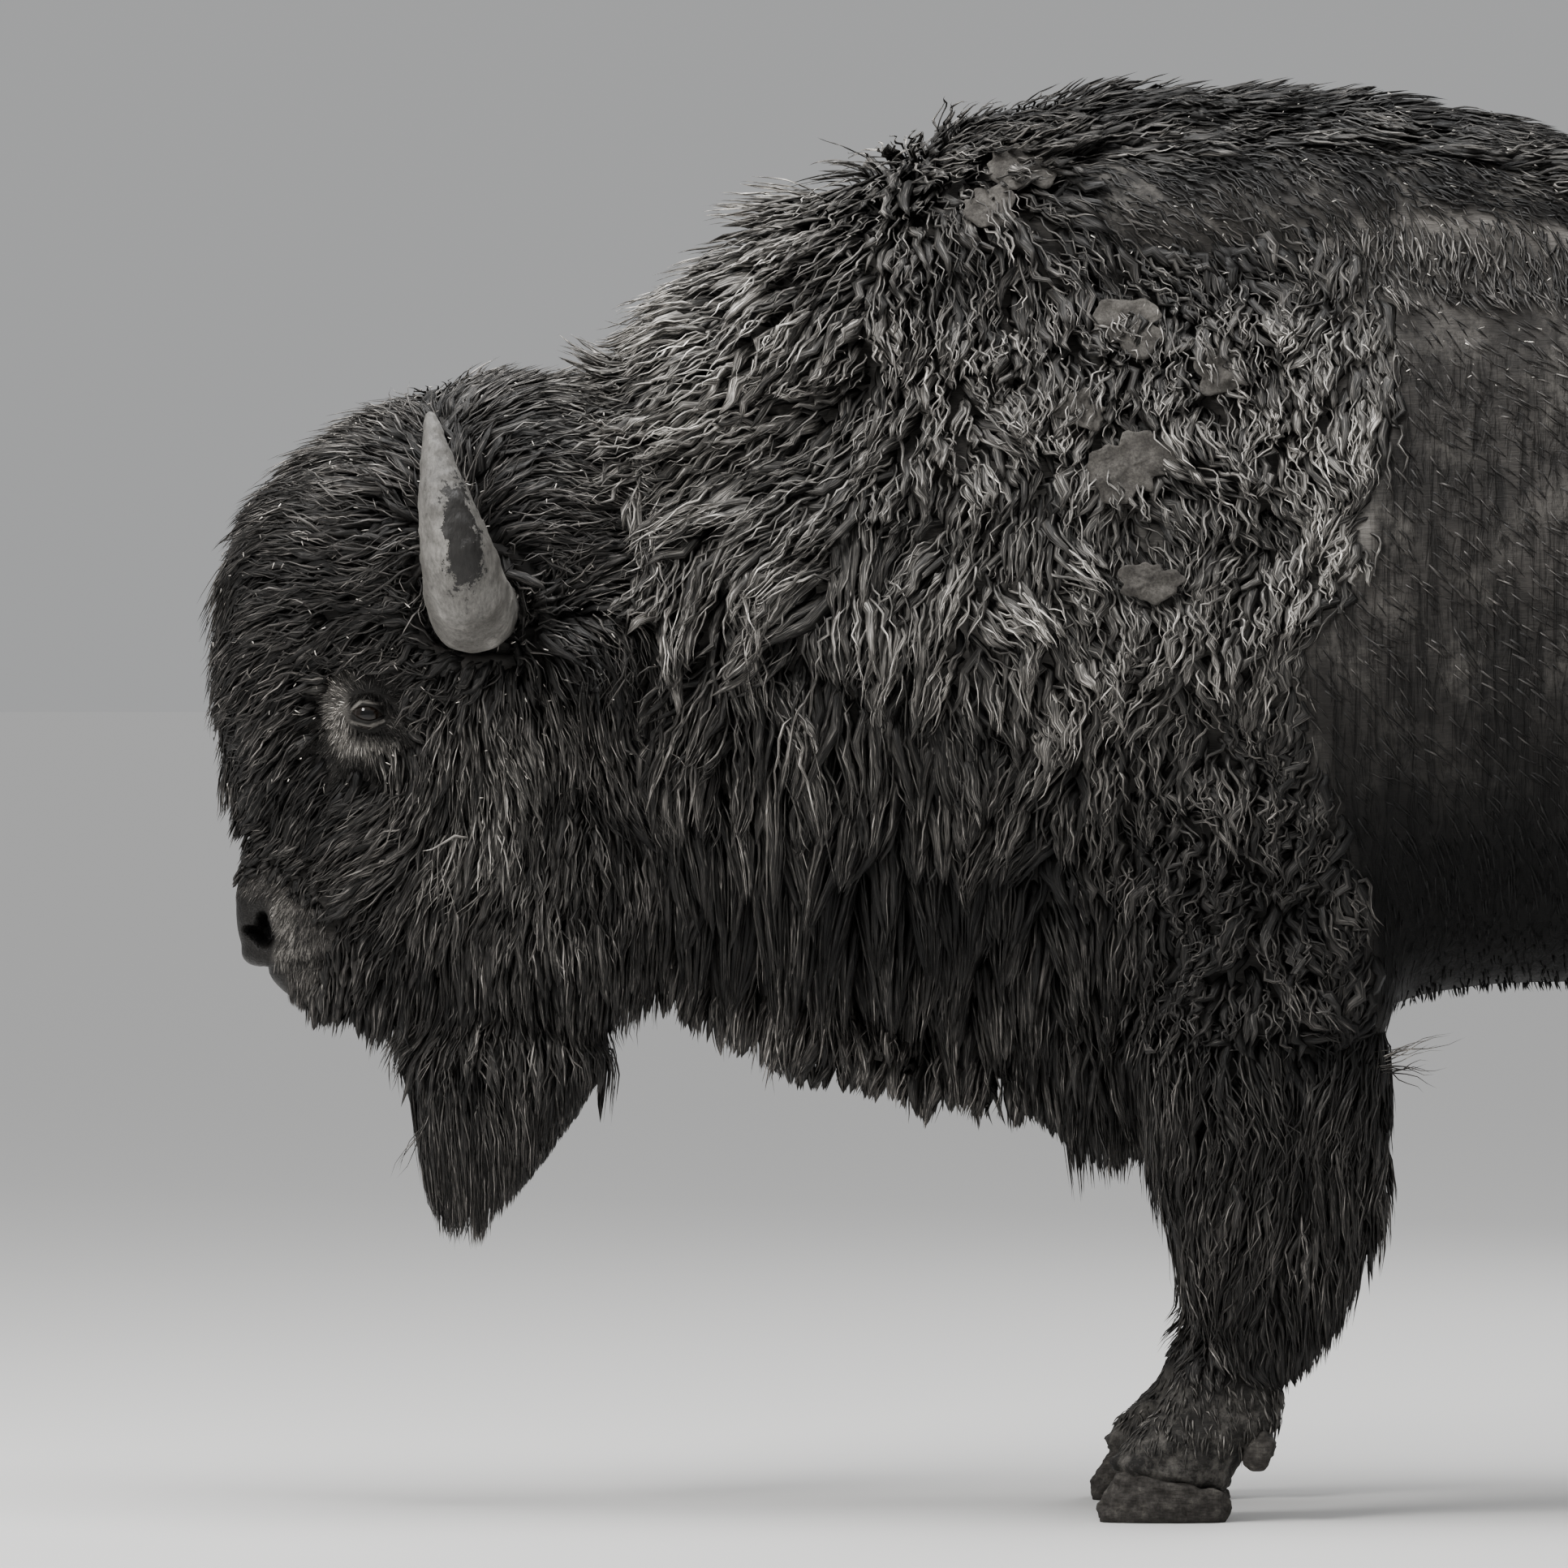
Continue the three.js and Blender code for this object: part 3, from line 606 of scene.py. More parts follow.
def make_lids(sign, surface):
    """The lids of one eye: rings from inside the opening, over the lid's edge, out to the face."""
    steps, around = 30, 96
    tilt = -0.12
    angle = circle(around)
    up = np.sin(angle)
    edge_x, edge_z = lid_edge(angle, 0.0215)
    verts = []
    for k in range(steps):
        t = k / (steps - 1)
        out = -0.003 + 0.039 * t**1.3
        grow, shrink = max(out, 0), min(out, 0)
        # The rings turn from the almond into a circle as they go out.
        r_x = edge_x * (1 + shrink / 0.02) + grow * np.cos(angle)
        r_z = edge_z * (1 + shrink / 0.012) + grow * up * 0.9
        x = EYE[0] + r_x * math.cos(tilt) - r_z * math.sin(tilt)
        z = EYE[2] + r_x * math.sin(tilt) + r_z * math.cos(tilt)
        # Over the eyeball near the opening, over the face further out.
        away = np.minimum(np.hypot(x - EYE[0], z - EYE[2]), EYE_RADIUS * 0.999)
        ball = np.sqrt(EYE_RADIUS**2 - away**2)
        lid = -EYE[1] + ball + 0.0022 - 0.006 * smoothstep(0.0, -0.003, out)
        blend = smoothstep(0.004, 0.022, out)
        y = (lid + fold(out, 0.003, 0.0028, 0.0022)) * (1 - blend) + (surface(x, z) + 0.0015) * blend
        y += fold(out, 0.0085, 0.0018, -0.0030) * np.clip(up + 0.3, 0, 1)  # the crease over the upper lid
        y += fold(out, 0.0075, 0.0016, -0.0020) * np.clip(0.1 - up, 0, 1)  # two bags under the lower one
        y += fold(out, 0.0125, 0.0018, -0.0015) * np.clip(-up, 0, 1)
        y += fold(out, 0.017, 0.006, 0.006) * np.clip(up, 0, 1)  # the brow
        y -= 0.010 * smoothstep(0.027, 0.036, out)
        verts.append(np.column_stack([x, sign * y, z]))
    # One more ring at each end, turned inwards.
    verts = [verts[0] - (0, sign * 0.012, 0), *verts, verts[-1] - (0, sign * 0.02, 0)]
    corners = (0, 1, 3, 2) if sign > 0 else (2, 3, 1, 0)
    return loft("lids", np.concatenate(verts), around, corners, inside_out=sign > 0)


# A foot in level sections, from under the long hair down to the claws: how far each reaches behind the
# middle of the claws in front and at its back, and its half width. The hind feet are a little smaller.
FOOT_SECTIONS = np.array([
    # level, front, back, half width
    [0.045, -0.074, 0.084, 0.060],
    [0.070, -0.058, 0.088, 0.060],
    [0.090, -0.043, 0.098, 0.058],
    [0.110, -0.028, 0.122, 0.056],
    [0.130, -0.009, 0.140, 0.053],
    [0.155, 0.007, 0.144, 0.049],
    [0.180, 0.020, 0.140, 0.044],
    [0.205, 0.038, 0.132, 0.038],
    [0.230, 0.064, 0.118, 0.024],
])
HIND_SIZE = 0.92


def coronet(x):
    """Level of the claws' upper edge, at a distance behind the middle of the claws."""
    return 0.066 - 0.213 * (x + 0.060)


def make_foot(leg):
    """The mud-caked foot of one leg, cloven in front and behind, down over the edge of its claws."""
    size = HIND_SIZE if leg.startswith("hind") else 1.0
    inner, outer = (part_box(f"{leg}_claw_{which}") for which in SIDES)
    middle_x = (inner[0].x + inner[1].x) / 2
    middle_y = (min(inner[0].y, outer[0].y) + max(inner[1].y, outer[1].y)) / 2
    around, levels = 90, 60
    forward, across = np.cos(circle(around)), np.sin(circle(around))
    top = FOOT_SECTIONS[-1, 0]
    verts = []
    for k in range(levels + 1):
        t = k / levels
        level = top + (FOOT_SECTIONS[0, 0] - top) * t
        _, front, back, half = smooth_rows(FOOT_SECTIONS, np.array([level]))[0]
        tuck = 0.010 * smoothstep(0.93, 1.0, t)
        reach = (back - front) / 2 - tuck
        x = (front + back) / 2 - reach * power(forward, 0.85)
        y = (half - tuck) * power(across, 0.85)
        cleft = np.exp(-((y / 0.008) ** 2)) * smoothstep(0.12, 0.06, level) * np.sign(forward)
        x += 0.013 * cleft
        z = top - (top - coronet(x) + 0.004) * t
        slim = 1 - 0.34 * smoothstep(0.09, 0.19, level) * (size < 1)
        x = 0.080 + (x - 0.080) * slim
        verts.append(np.column_stack([middle_x + size * x, middle_y + size * y * slim, size * z]))
    foot = loft("foot", np.concatenate(verts[::-1]), around)
    co = points_of(foot)
    lumps = 0.0018 * Waves(SEED + 8, 0.045)(co) + 0.0006 * Waves(SEED + 9, 0.014)(co)
    set_points(foot, co + normals_of(foot) * (lumps * smoothstep(0.19, 0.15, co[:, 2]))[:, None])
    return foot


def make_skin():
    """One skin for the whole animal: the flesh drawn in by the coat's depth, with the face set in it."""
    trunk = joined_copy("skin", [n for n in FLESH if not n.startswith("muzzle")])
    remeshed(trunk, SKIN_VOXEL)
    regions = Regions(trunk)
    co, edges = relax(points_of(trunk), edges_of(trunk), 6), edges_of(trunk)
    steps = 6
    for _ in range(steps):
        set_points(trunk, co)
        co = co - normals_of(trunk) * (regions.depth(co) / steps)[:, None]
        co = relax(co, edges, 2)
    # Under the throat and chest the skin stops short of the wool's lower edge.
    chest = smoothstep(-0.97, -0.90, co[:, 0]) * smoothstep(-0.33, -0.37, co[:, 0])
    co[:, 2] += chest * np.log1p(np.exp((chest_floor(co) + CHEST_ROOM - co[:, 2]) / 0.012)) * 0.012
    set_points(trunk, co)
    remeshed(trunk, SKIN_VOXEL)
    set_points(trunk, relax(points_of(trunk), edges_of(trunk), 8))

    face = make_face()

    def surface(x, z):
        """How far out the side of the face is, as it would be without the hollow for the eye."""
        section = smooth_rows(FACE_SECTIONS, np.clip(z, 0.7, 1.2))
        centre, reach = (section[:, 1] + section[:, 2]) / 2, (section[:, 2] - section[:, 1]) / 2
        c = np.clip((centre - x) / reach, -0.99, 0.99)
        side = (1 - np.abs(c) ** FULLNESS) ** (1 / FULLNESS)
        forward = np.sign(c) * np.abs(c) ** (FULLNESS / 2)
        brow = bump_out(np.column_stack([x, x, z]), *BROW)
        return section[:, 3] * side * (1 - section[:, 4] * forward) + brow

    lids = [make_lids(sign, surface) for sign in SIDES.values()]
    feet = [make_foot(n.removesuffix("_lower")) for n in FLESH if n.endswith("lower")]
    merged = bmesh.new()
    parts = []
    for piece in (trunk, face, *feet, *lids):
        start = len(merged.verts)
        merged.from_mesh(piece.data)
        parts.append((start, start + len(piece.data.vertices)))
    parts = parts[: -len(lids)]
    mesh = bpy.data.meshes.new("skin")
    merged.to_mesh(mesh)
    merged.free()
    for piece in (face, *feet, *lids):
        bpy.data.objects.remove(piece)
    trunk.data = mesh
    return smoothed(trunk), regions, parts


# ---------------------------------------------------------------- colours and painted shade, alike on skin and coat

MOP_DARK = np.array([0.0345, 0.0318, 0.0295])
WOOL_MID = np.array([0.104, 0.097, 0.089])
WOOL_PALE = np.array([0.300, 0.284, 0.261])
WOOL_DEEP = np.array([0.0340, 0.0315, 0.0290])
HIDE = np.array([0.0120, 0.0110, 0.0101])
DUST = np.array([0.150, 0.140, 0.127])
BEARD = np.array([0.0340, 0.0316, 0.0292])
FACE_DARK = np.array([0.0160, 0.0148, 0.0136])
FACE_PALE = np.array([0.1150, 0.1080, 0.0990])

# Where the sun has bleached the wool: place in the side view, reach each way, and how pale.
PALE_WOOL = [
    (CAPE_X - 0.07, 1.24, 0.075, 0.20, 0.90),
    (CAPE_X - 0.03, 1.47, 0.070, 0.09, 0.40),
    (-0.82, 1.48, 0.13, 0.12, 0.75),
    (-0.82, 1.32, 0.12, 0.10, 0.55),
    (-0.58, 1.18, 0.22, 0.16, 0.35),
    (-0.33, 1.14, 0.16, 0.15, 0.50),
    (-0.40, 1.36, 0.20, 0.12, 0.20),
]
PALE_MOP = [
    (-0.96, 1.37, 0.12, 0.08, 0.35),
    (-1.10, 0.90, 0.06, 0.09, 0.45),
    (-1.03, 0.78, 0.12, 0.14, 0.08),
    (-1.25, 1.36, 0.12, 0.06, 0.12),
]
# Pale strokes of the face, from the eye: start, end, half widths there, and strength. A crescent in
# front of the eye, and a fan of hair under it.
PALE_EYE = [
    ((-0.016, 0.060), (-0.038, 0.030), 0.007, 0.013, 0.8),
    ((-0.040, 0.024), (-0.030, -0.034), 0.015, 0.012, 1.0),
    ((-0.024, -0.042), (0.028, -0.042), 0.013, 0.010, 1.0),
]
PALE_LIDS = [  # the crease over the upper lid, and the lower lid's rim
    ((-0.021, 0.003), (-0.007, 0.0165), 0.0016, 0.0022, 1.0),
    ((-0.007, 0.0165), (0.016, 0.0120), 0.0022, 0.0016, 0.9),
    ((-0.019, -0.011), (0.002, -0.0170), 0.0022, 0.0026, 1.0),
    ((0.002, -0.0170), (0.020, -0.0090), 0.0026, 0.0018, 0.9),
]
PALE_MUZZLE = [
    ((0.060, 0.030), (0.064, -0.030), 0.011, 0.014, 0.9),
    ((0.070, -0.030), (0.110, -0.060), 0.018, 0.022, 0.5),
]

DUST_FIELD = Waves(SEED + 1, 0.11)
TONE_FIELD = Waves(SEED + 2, 0.23)
FINE_FIELD = Waves(SEED + 3, 0.035)


def mix(a, b, weight):
    return a + (b - a) * np.clip(weight, 0, 1)[:, None]


def markings_with_painted_shade(p, regions):
    """The coat's colour at points of the body, with painted shade low down and in hollows, which the skin
    takes as well.
    """
    count = len(p)
    head, leg = regions.head(p), regions.foreleg(p)
    below = regions.below_back(p)
    tone = TONE_FIELD(p)
    # The smooth hind part: dark, and darkest low on the flank, which is partly the hide's own colour and
    # partly painted shade low on the body; with mud dried on it in soft patches.
    colour = mix(np.tile(HIDE * 1.9, (count, 1)), HIDE * 0.30, smoothstep(0.20, 0.12, below))
    colour = mix(colour, HIDE * 0.08, smoothstep(1.20, 0.80, p[:, 2]) * smoothstep(0.25, 0.60, p[:, 2]))
    dust = 0.08 * smoothstep(0.3, 1.7, DUST_FIELD(p)) * smoothstep(0.85, 1.15, p[:, 2])
    colour = mix(colour, DUST, dust)
    wool = mix(np.tile(WOOL_MID, (count, 1)), WOOL_DEEP, 0.30 + 0.20 * tone)
    for x, z, reach_x, reach_z, strength in PALE_WOOL:
        wool = mix(wool, WOOL_PALE, strength * side_blob(p, x, z, reach_x, reach_z))
    # Dark low down, partly the wool's own colour and partly painted shade low on the body; a little paler
    # under the throat; a pale patch on the hump; and painted shade in two hollows.
    wool = mix(wool, WOOL_DEEP, 0.92 * smoothstep(1.08, 0.78, p[:, 2]))
    wool = mix(wool, WOOL_PALE, 0.40 * side_blob(p, -0.68, 1.66, 0.13, 0.08))
    wool = mix(wool, WOOL_DEEP * 2.2, smoothstep(0.80, 0.64, p[:, 2]) * smoothstep(-0.42, -0.50, p[:, 0]))
    wool = mix(wool, WOOL_DEEP * 0.35, 0.9 * side_blob(p, -0.55, 0.81, 0.10, 0.07))
    wool = mix(wool, WOOL_DEEP * 0.50, 0.4 * side_blob(p, -0.65, 0.93, 0.14, 0.10))
    top = 0.90 * smoothstep(0.11, 0.05, below) * smoothstep(-0.62, -0.35, p[:, 0])
    wool = mix(wool, WOOL_DEEP * 0.3, top)
    rim = smoothstep(0.050, 0.015, below - regions.saddle_low(p))
    wool = mix(wool, WOOL_MID * 0.36, 0.90 * regions.fringe(p))
    wool = mix(wool, WOOL_MID * 0.90, 0.85 * regions.fringe(p) * rim)
    colour = mix(colour, wool, regions.cape(p))
    colour = mix(colour, WOOL_DEEP, leg * (1 - regions.shank(p)))
    mop = mix(np.tile(MOP_DARK, (count, 1)), WOOL_MID, 0.08 + 0.06 * tone)
    for x, z, reach_x, reach_z, strength in PALE_MOP:
        mop = mix(mop, WOOL_PALE, strength * side_blob(p, x, z, reach_x, reach_z))
    colour = mix(colour, mop, head)
    colour = mix(colour, BEARD, regions.beard(p))
    # The face: dark round the eye, pale in front of and below it, and pale behind the nostril.
    eye_field = regions.eye_field(p)
    colour = mix(colour, FACE_DARK, 0.9 * eye_field)
    eye, nose = EYE[[0, 2]], np.array([NOSE_X, MUZZLE[2]])
    for strokes, origin, pale in ((PALE_EYE, eye, 1.0), (PALE_LIDS, eye, 1.8), (PALE_MUZZLE, nose, 1.0)):
        for start, end, radius, end_radius, strength in strokes:
            drawn = stroke(p, origin + start, origin + end, radius, end_radius)
            drawn = drawn * strength * head * np.clip(0.9 + 0.25 * FINE_FIELD(p), 0, 1)
            colour = mix(colour, FACE_PALE * pale, drawn)
    colour = mix(colour, DUST * 0.26, 0.80 * smoothstep(0.19, 0.12, p[:, 2]))
    return colour * np.clip(1 + 0.13 * FINE_FIELD(p), 0.6, 1.5)[:, None]


# ---------------------------------------------------------------- the lie of the coat

TURN_FIELD = Waves(SEED + 4, 0.16)
KINK_FIELD = Waves(SEED + 5, 0.055)
SWIRL_FIELD = Waves(SEED + 6, 0.10)
RELIEF_FIELD = Waves(SEED + 7, 0.13)
MOP_HEART = np.array([HORN[0] + 0.03, HORN_BASE + 0.02])  # the mop's hair grows away from here


def lie(p, n, regions):
    """The way the coat lies at points of the skin, as unit directions along the skin."""
    x, z = p[:, 0], p[:, 2]
    down = np.tile([0.0, 0.0, -1.0], (len(p), 1))
    back = np.tile([1.0, 0.0, 0.0], (len(p), 1))
    # The smooth hind part: backwards and down, straight down on the legs.
    hind = 0.75 * back + 0.65 * down
    hind += down * smoothstep(0.95, 0.7, z)[:, None] * 2
    # The cape: back along its top, forwards and down in front of the hump, down over the shoulder.
    below = regions.below_back(p)
    top = smoothstep(0.26, 0.09, below) * smoothstep(-0.66, -0.36, x)
    front = smoothstep(-0.56, -0.86, x) * smoothstep(1.02, 1.42, z)
    side = smoothstep(-0.5, -0.1, x) * smoothstep(1.1, 1.4, z)
    fore = down + back * (-1.25 * front + 0.35 * side)[:, None]
    fore = mix(fore, 1.0 * back + 0.22 * down, top)
    fore = mix(fore, down, regions.fringe(p))
    # Where the two ways part, on the hump's top, the hair falls to either side.
    over = np.column_stack([0.45 + 0 * x, np.sign(p[:, 1]), 0 * x])
    fore = mix(fore, over, smoothstep(0.13, 0.03, np.abs(x + 0.505)) * smoothstep(0.14, 0.04, below))
    fore += back * (-0.35 * smoothstep(1.0, 0.75, z) * smoothstep(-0.30, -0.55, x))[:, None]
    way = mix(hind, fore, regions.cape(p))
    # The head: out from the horns, with a pull downwards, and back over the crown.
    out = np.column_stack([x - MOP_HEART[0], 0 * x, z - MOP_HEART[1]])
    out = unit(out) + 0.35 * down
    crown = smoothstep(MOP_HEART[0] - 0.10, MOP_HEART[0] + 0.06, x) * smoothstep(1.12, 1.24, z)
    out = mix(out, back + 0.1 * down, crown)
    cheek = smoothstep(0.95, 0.80, z)
    muzzle = smoothstep(1.03, 0.92, z) * smoothstep(0.74, 0.82, z) * smoothstep(-1.14, -1.26, x)
    out = mix(out, down - 0.45 * back, cheek * smoothstep(-0.98, -1.2, x))
    out = mix(out, down, cheek * smoothstep(-1.2, -0.98, x))
    out = mix(out, 0.55 * down - back, muzzle)
    from_eye = np.column_stack([x - EYE[0], 0 * x, z - EYE[2]])
    out = mix(out, unit(from_eye) + 0.15 * down, smoothstep(0.11, 0.05, np.linalg.norm(from_eye, axis=1)))
    way = mix(way, out, regions.head(p))
    aside = np.column_stack([0.3 + 0 * x, np.sign(p[:, 1]), -0.45 + 0 * x])
    way = mix(way, aside, regions.ear(p))
    for hanging in (regions.beard(p), regions.tuft(p), 0.95 * regions.foreleg(p)):
        way = mix(way, down, hanging)
    way = way - n * np.sum(way * n, axis=1)[:, None]
    weak = np.linalg.norm(way, axis=1) < 0.05
    way[weak] = np.cross(n[weak], [0.0, 1.0, 0.0])
    return unit(way)


def turned(way, n, angle):
    """Directions along the skin, turned about its normal."""
    return way * np.cos(angle)[:, None] + np.cross(n, way) * np.sin(angle)[:, None]


# ---------------------------------------------------------------- growing locks

TRIES = 3.2  # random places tried for each root that is kept
OFBAKE_PATCH = 0.003  # size of one lock on its map
STRAND_WIDTH = 0.0016  # of one strand's streak across a lock
STRAND_RUN = 0.030  # along it
PIECE_LIMIT = 195000  # triangles in one piece of the coat
COAT_PIECES = []


class Skin:
    """The skin as a surface to root locks in and to keep them clear of."""

    def __init__(self, obj, closed_parts):
        obj.data.calc_loop_triangles()
        tris = read(obj.data.loop_triangles, "vertices", 3)
        self.co = points_of(obj)
        self.normals = normals_of(obj)
        middles = self.co[tris].mean(axis=1)
        # What lies inside another of the parts that the skin is joined from is left out.
        seen = np.ones(len(tris), bool)
        for first, last in closed_parts:
            own = (tris[:, 0] >= first) & (tris[:, 0] < last)
            tree = BVHTree.FromPolygons(self.co.tolist(), tris[own].tolist())
            low, high = self.co[first:last].min(axis=0), self.co[first:last].max(axis=0)
            near = np.flatnonzero(~own & np.all((middles > low) & (middles < high), axis=1))
            for i in near:
                spot, normal, _, _ = tree.find_nearest(middles[i])
                if (Vector(middles[i]) - spot).dot(normal) < 0:
                    seen[i] = False
        self.tris = tris[seen]
        self.middles = middles[seen]
        corners = self.co[self.tris]
        cross = np.cross(corners[:, 1] - corners[:, 0], corners[:, 2] - corners[:, 0])
        self.areas = np.linalg.norm(cross, axis=1) / 2
        self.tree = BVHTree.FromPolygons(self.co.tolist(), self.tris.tolist())

    def scatter(self, rng, spacing, weight):
        """Roots about a spacing apart where a mask of the place says so."""
        share = self.areas * weight(self.middles)
        count = int(share.sum() / spacing**2 * TRIES)
        pick = rng.choice(len(share), count, p=share / share.sum())
        a, b = rng.random(count), rng.random(count)
        flip = a + b > 1
        a[flip], b[flip] = 1 - a[flip], 1 - b[flip]
        w = np.stack([a, b, 1 - a - b], axis=1)[:, :, None]
        p = (self.co[self.tris[pick]] * w).sum(axis=1)
        n = (self.normals[self.tris[pick]] * w).sum(axis=1)
        # One root stays in each small cube of space, which spreads them evenly.
        _, first = np.unique(cell_keys(p, spacing * 0.94), return_index=True)
        return p[first], unit(n[first])

    def lift_clear(self, p, height, ceiling):
        """Points moved to between two heights over the skin, and the skin's normals under them."""
        out, normals = p.copy(), np.empty_like(p)
        find = self.tree.find_nearest
        for i, q in enumerate(p.tolist()):
            spot, normal, _, _ = find(q)
            dx, dy, dz = q[0] - spot[0], q[1] - spot[1], q[2] - spot[2]
            above = dx * normal[0] + dy * normal[1] + dz * normal[2]
            normals[i] = normal
            held = 0.0 if normal[2] < -0.35 else 1.0  # below the body's forms a lock hangs free
            rise = max(height[i] - above, 0) + held * min(ceiling[i] - above, 0)
            if rise:
                out[i] += normals[i] * rise
        return out, normals


def cell_keys(p, size):
    """A number for the small cube of space that each point lies in."""
    cell = np.floor(p / size).astype(np.int64)
    return (cell[:, 0] * 73856093) ^ (cell[:, 1] * 19349663) ^ (cell[:, 2] * 83492791)


def at_roots(setting, roots):
    """One of the coat's settings at each root: it is a number, or a function of the place."""
    return setting(roots) if callable(setting) else np.full(len(roots), setting)


def lock_paths(skin, rng, roots, normals, way, long, deep, kind):
    """The middle lines of locks: over the skin along the coat's lie, waving, hanging where they can."""
    count, segments = len(roots), kind["segments"]
    step = long / segments
    phase = 2 * math.pi * (0.45 * rng.random(count) + 0.55 * KINK_FIELD(roots))
    curl = at_roots(kind["curl"], roots) * rng.uniform(0.4, 1.4, count)
    wave = kind["wave"] * rng.uniform(0.7, 1.4, count)
    under = smoothstep(0.25, 0.85, -normals[:, 2])
    down = np.array([0.0, 0.0, -1.0])
    p, n, d = roots - normals * kind["sink"], normals.copy(), way.copy()
    path, frames = [p], [n]
    for k in range(1, segments + 1):
        t = k / segments
        bend = curl * np.cos(phase + 2 * math.pi * step * k / wave)
        heading = turned(d, n, bend)
        heading[:, 2] -= kind["droop"] * t
        rise = np.clip(0.9 - 1.5 * t, 0, 1)
        heading = unit(heading + n * (rise * np.minimum(deep / long, 1) * 1.3)[:, None])
        hang = np.maximum(under, smoothstep(0.15, 0.60, -n[:, 2]))[:, None]
        heading = unit(heading * (1 - hang) + (down + 0.25 * heading) * hang)
        p = p + heading * step[:, None]
        low = deep * (0.22 + 0.70 * t**0.8)
        p, n = skin.lift_clear(p, low, np.maximum(low, kind["proud"] * deep + 0.004) + under * long)
        n = unit(n)
        d = unit(d - n * np.sum(d * n, axis=1)[:, None] + 1e-6)
        path.append(p)
        frames.append(n)
    return np.stack(path, axis=1), np.stack(frames, axis=1)


class Clumps:
    """Guide locks standing well apart, which the layers of one stretch of coat gather to alike."""

    def __init__(self, skin, regions, weight, kind):
        rng = np.random.default_rng(SEED * 1000)
        self.size = kind["mass"]
        self.roots, normals = skin.scatter(rng, self.size, weight)
        guide = {**kind, "segments": 6, "high": (0.9, 1.1), "jitter": 0.5 * kind["jitter"], "stray": 0.0}
        self.path = comb(skin, regions, rng, self.roots, normals, guide)[0]
        self.tree = tree_of(self.roots)

    def of(self, roots):
        """The clump each root belongs to, and how far out in it the root stands, from 0 to about 1."""
        _, clump, away = zip(*(self.tree.find(root) for root in roots.tolist()))
        return np.array(clump), np.array(away) / (0.6 * self.size)

    def gather(self, path, clump, strength):
        """Draws locks to their clump's guide, most at their tips, so that the coat parts between clumps."""
        steps = path.shape[1] - 1
        own = np.linspace(0, 1, self.path.shape[1])
        for k in range(1, steps + 1):
            t = k / steps
            i = min(int(t * (len(own) - 1)), len(own) - 2)
            share = t * (len(own) - 1) - i
            target = self.path[clump, i] * (1 - share) + self.path[clump, i + 1] * share
            path[:, k] += (target - path[:, k]) * strength * t**1.3


def gather_near(path, roots, rng, spacing, strength, stray):
    """Draws neighbouring locks together towards their tips, which parts the coat into pointed clumps."""
    order = rng.permutation(len(roots))
    _, first = np.unique(cell_keys(roots[order], spacing), return_index=True)
    leaders = order[first]
    tree = tree_of(roots[leaders])
    leader_of = np.array([leaders[tree.find(r)[1]] for r in roots.tolist()])
    loose = np.where(rng.random(len(roots)) < stray, 0.25, 1.0)
    steps = path.shape[1]
    lines = path.copy()
    for k in range(1, steps):
        pull = strength * loose[:, None] * (k / (steps - 1)) ** 1.4
        path[:, k] += (lines[leader_of, k] - path[:, k]) * pull
    return leader_of


def lock_mesh(name, path, frames, width, twist, lean, colour, bleach, patch, kind):
    """Joined closed locks, three-sided with a ridge, tapering to a point. patch is each root's place
    on the unwrap of the skin."""
    count, rings = path.shape[0], path.shape[1] - 1
    along = np.empty_like(path)
    along[:, 1:-1] = path[:, 2:] - path[:, :-2]
    along[:, 0] = path[:, 1] - path[:, 0]
    along[:, -1] = path[:, -1] - path[:, -2]
    along = unit(along)
    up = unit(frames - along * np.sum(frames * along, axis=2)[:, :, None])
    aside = np.cross(along, up)
    t = np.arange(rings) / rings
    roll = twist[:, :1] + twist[:, 1:] * t[None, :]
    cos, sin = np.cos(roll)[:, :, None], np.sin(roll)[:, :, None]
    up, aside = up[:, :rings], aside[:, :rings]
    up, aside = up * cos + aside * sin, aside * cos - up * sin
    taper = (kind["root"] + (1 - kind["root"]) * smoothstep(0, 0.35, t)) * (1 - t ** kind["full"]) ** 0.8
    half = (width[:, None] / 2 * taper[None, :])[:, :, None]
    mid = path[:, :rings]
    crest = mid + aside * half * lean[:, None, None] + up * half * 2 * kind["flat"]
    verts = np.stack([mid - aside * half, crest, mid + aside * half], axis=2)
    verts = np.concatenate([verts.reshape(count, rings * 3, 3), path[:, -1:]], axis=1)
    per = rings * 3 + 1
    tris = [[0, 1, 2]]
    for r in range(rings - 1):
        for side in range(3):
            a, b = 3 * r + side, 3 * r + (side + 1) % 3
            tris += [[a, a + 3, b], [b, a + 3, b + 3]]
    for side in range(3):
        tris.append([3 * (rings - 1) + side, per - 1, 3 * (rings - 1) + (side + 1) % 3])
    faces = (np.array(tris)[None] + per * np.arange(count)[:, None, None]).reshape(-1, 3)
    obj = array_mesh(name, verts.reshape(-1, 3), faces)

    # How far along and across its lock each vertex lies.
    v_along = np.append(np.repeat(t, 3), 1.0)
    v_across = np.append(np.tile([0.0, 0.5, 1.0], rings), 0.5)
    lock, vert = faces // per, faces % per
    lengths = np.linalg.norm(np.diff(path, axis=1), axis=2).sum(axis=1)
    number = (np.arange(count) * 7.31) % 97.0
    across = v_across[vert] * (width[lock] / STRAND_WIDTH) + number[lock] * 3.1
    strand = np.stack([across, v_along[vert] * lengths[lock] / STRAND_RUN + number[lock]], axis=-1)
    bake = patch[lock] + OFBAKE_PATCH * (np.stack([v_across[vert], v_along[vert]], axis=-1) - 0.5)
    add_map(obj, "Strand", strand)
    add_map(obj, "OFBake", np.clip(bake, 0, 1))
    fade = kind["shadow"] + (1 - kind["shadow"]) * smoothstep(0.0, 0.7, v_along)
    light = fade[None, :] * (1 + bleach[:, None] * v_along[None, :] ** 2)
    paint(obj, (colour[:, None, :] * light[:, :, None]).reshape(-1, 3))
    return obj


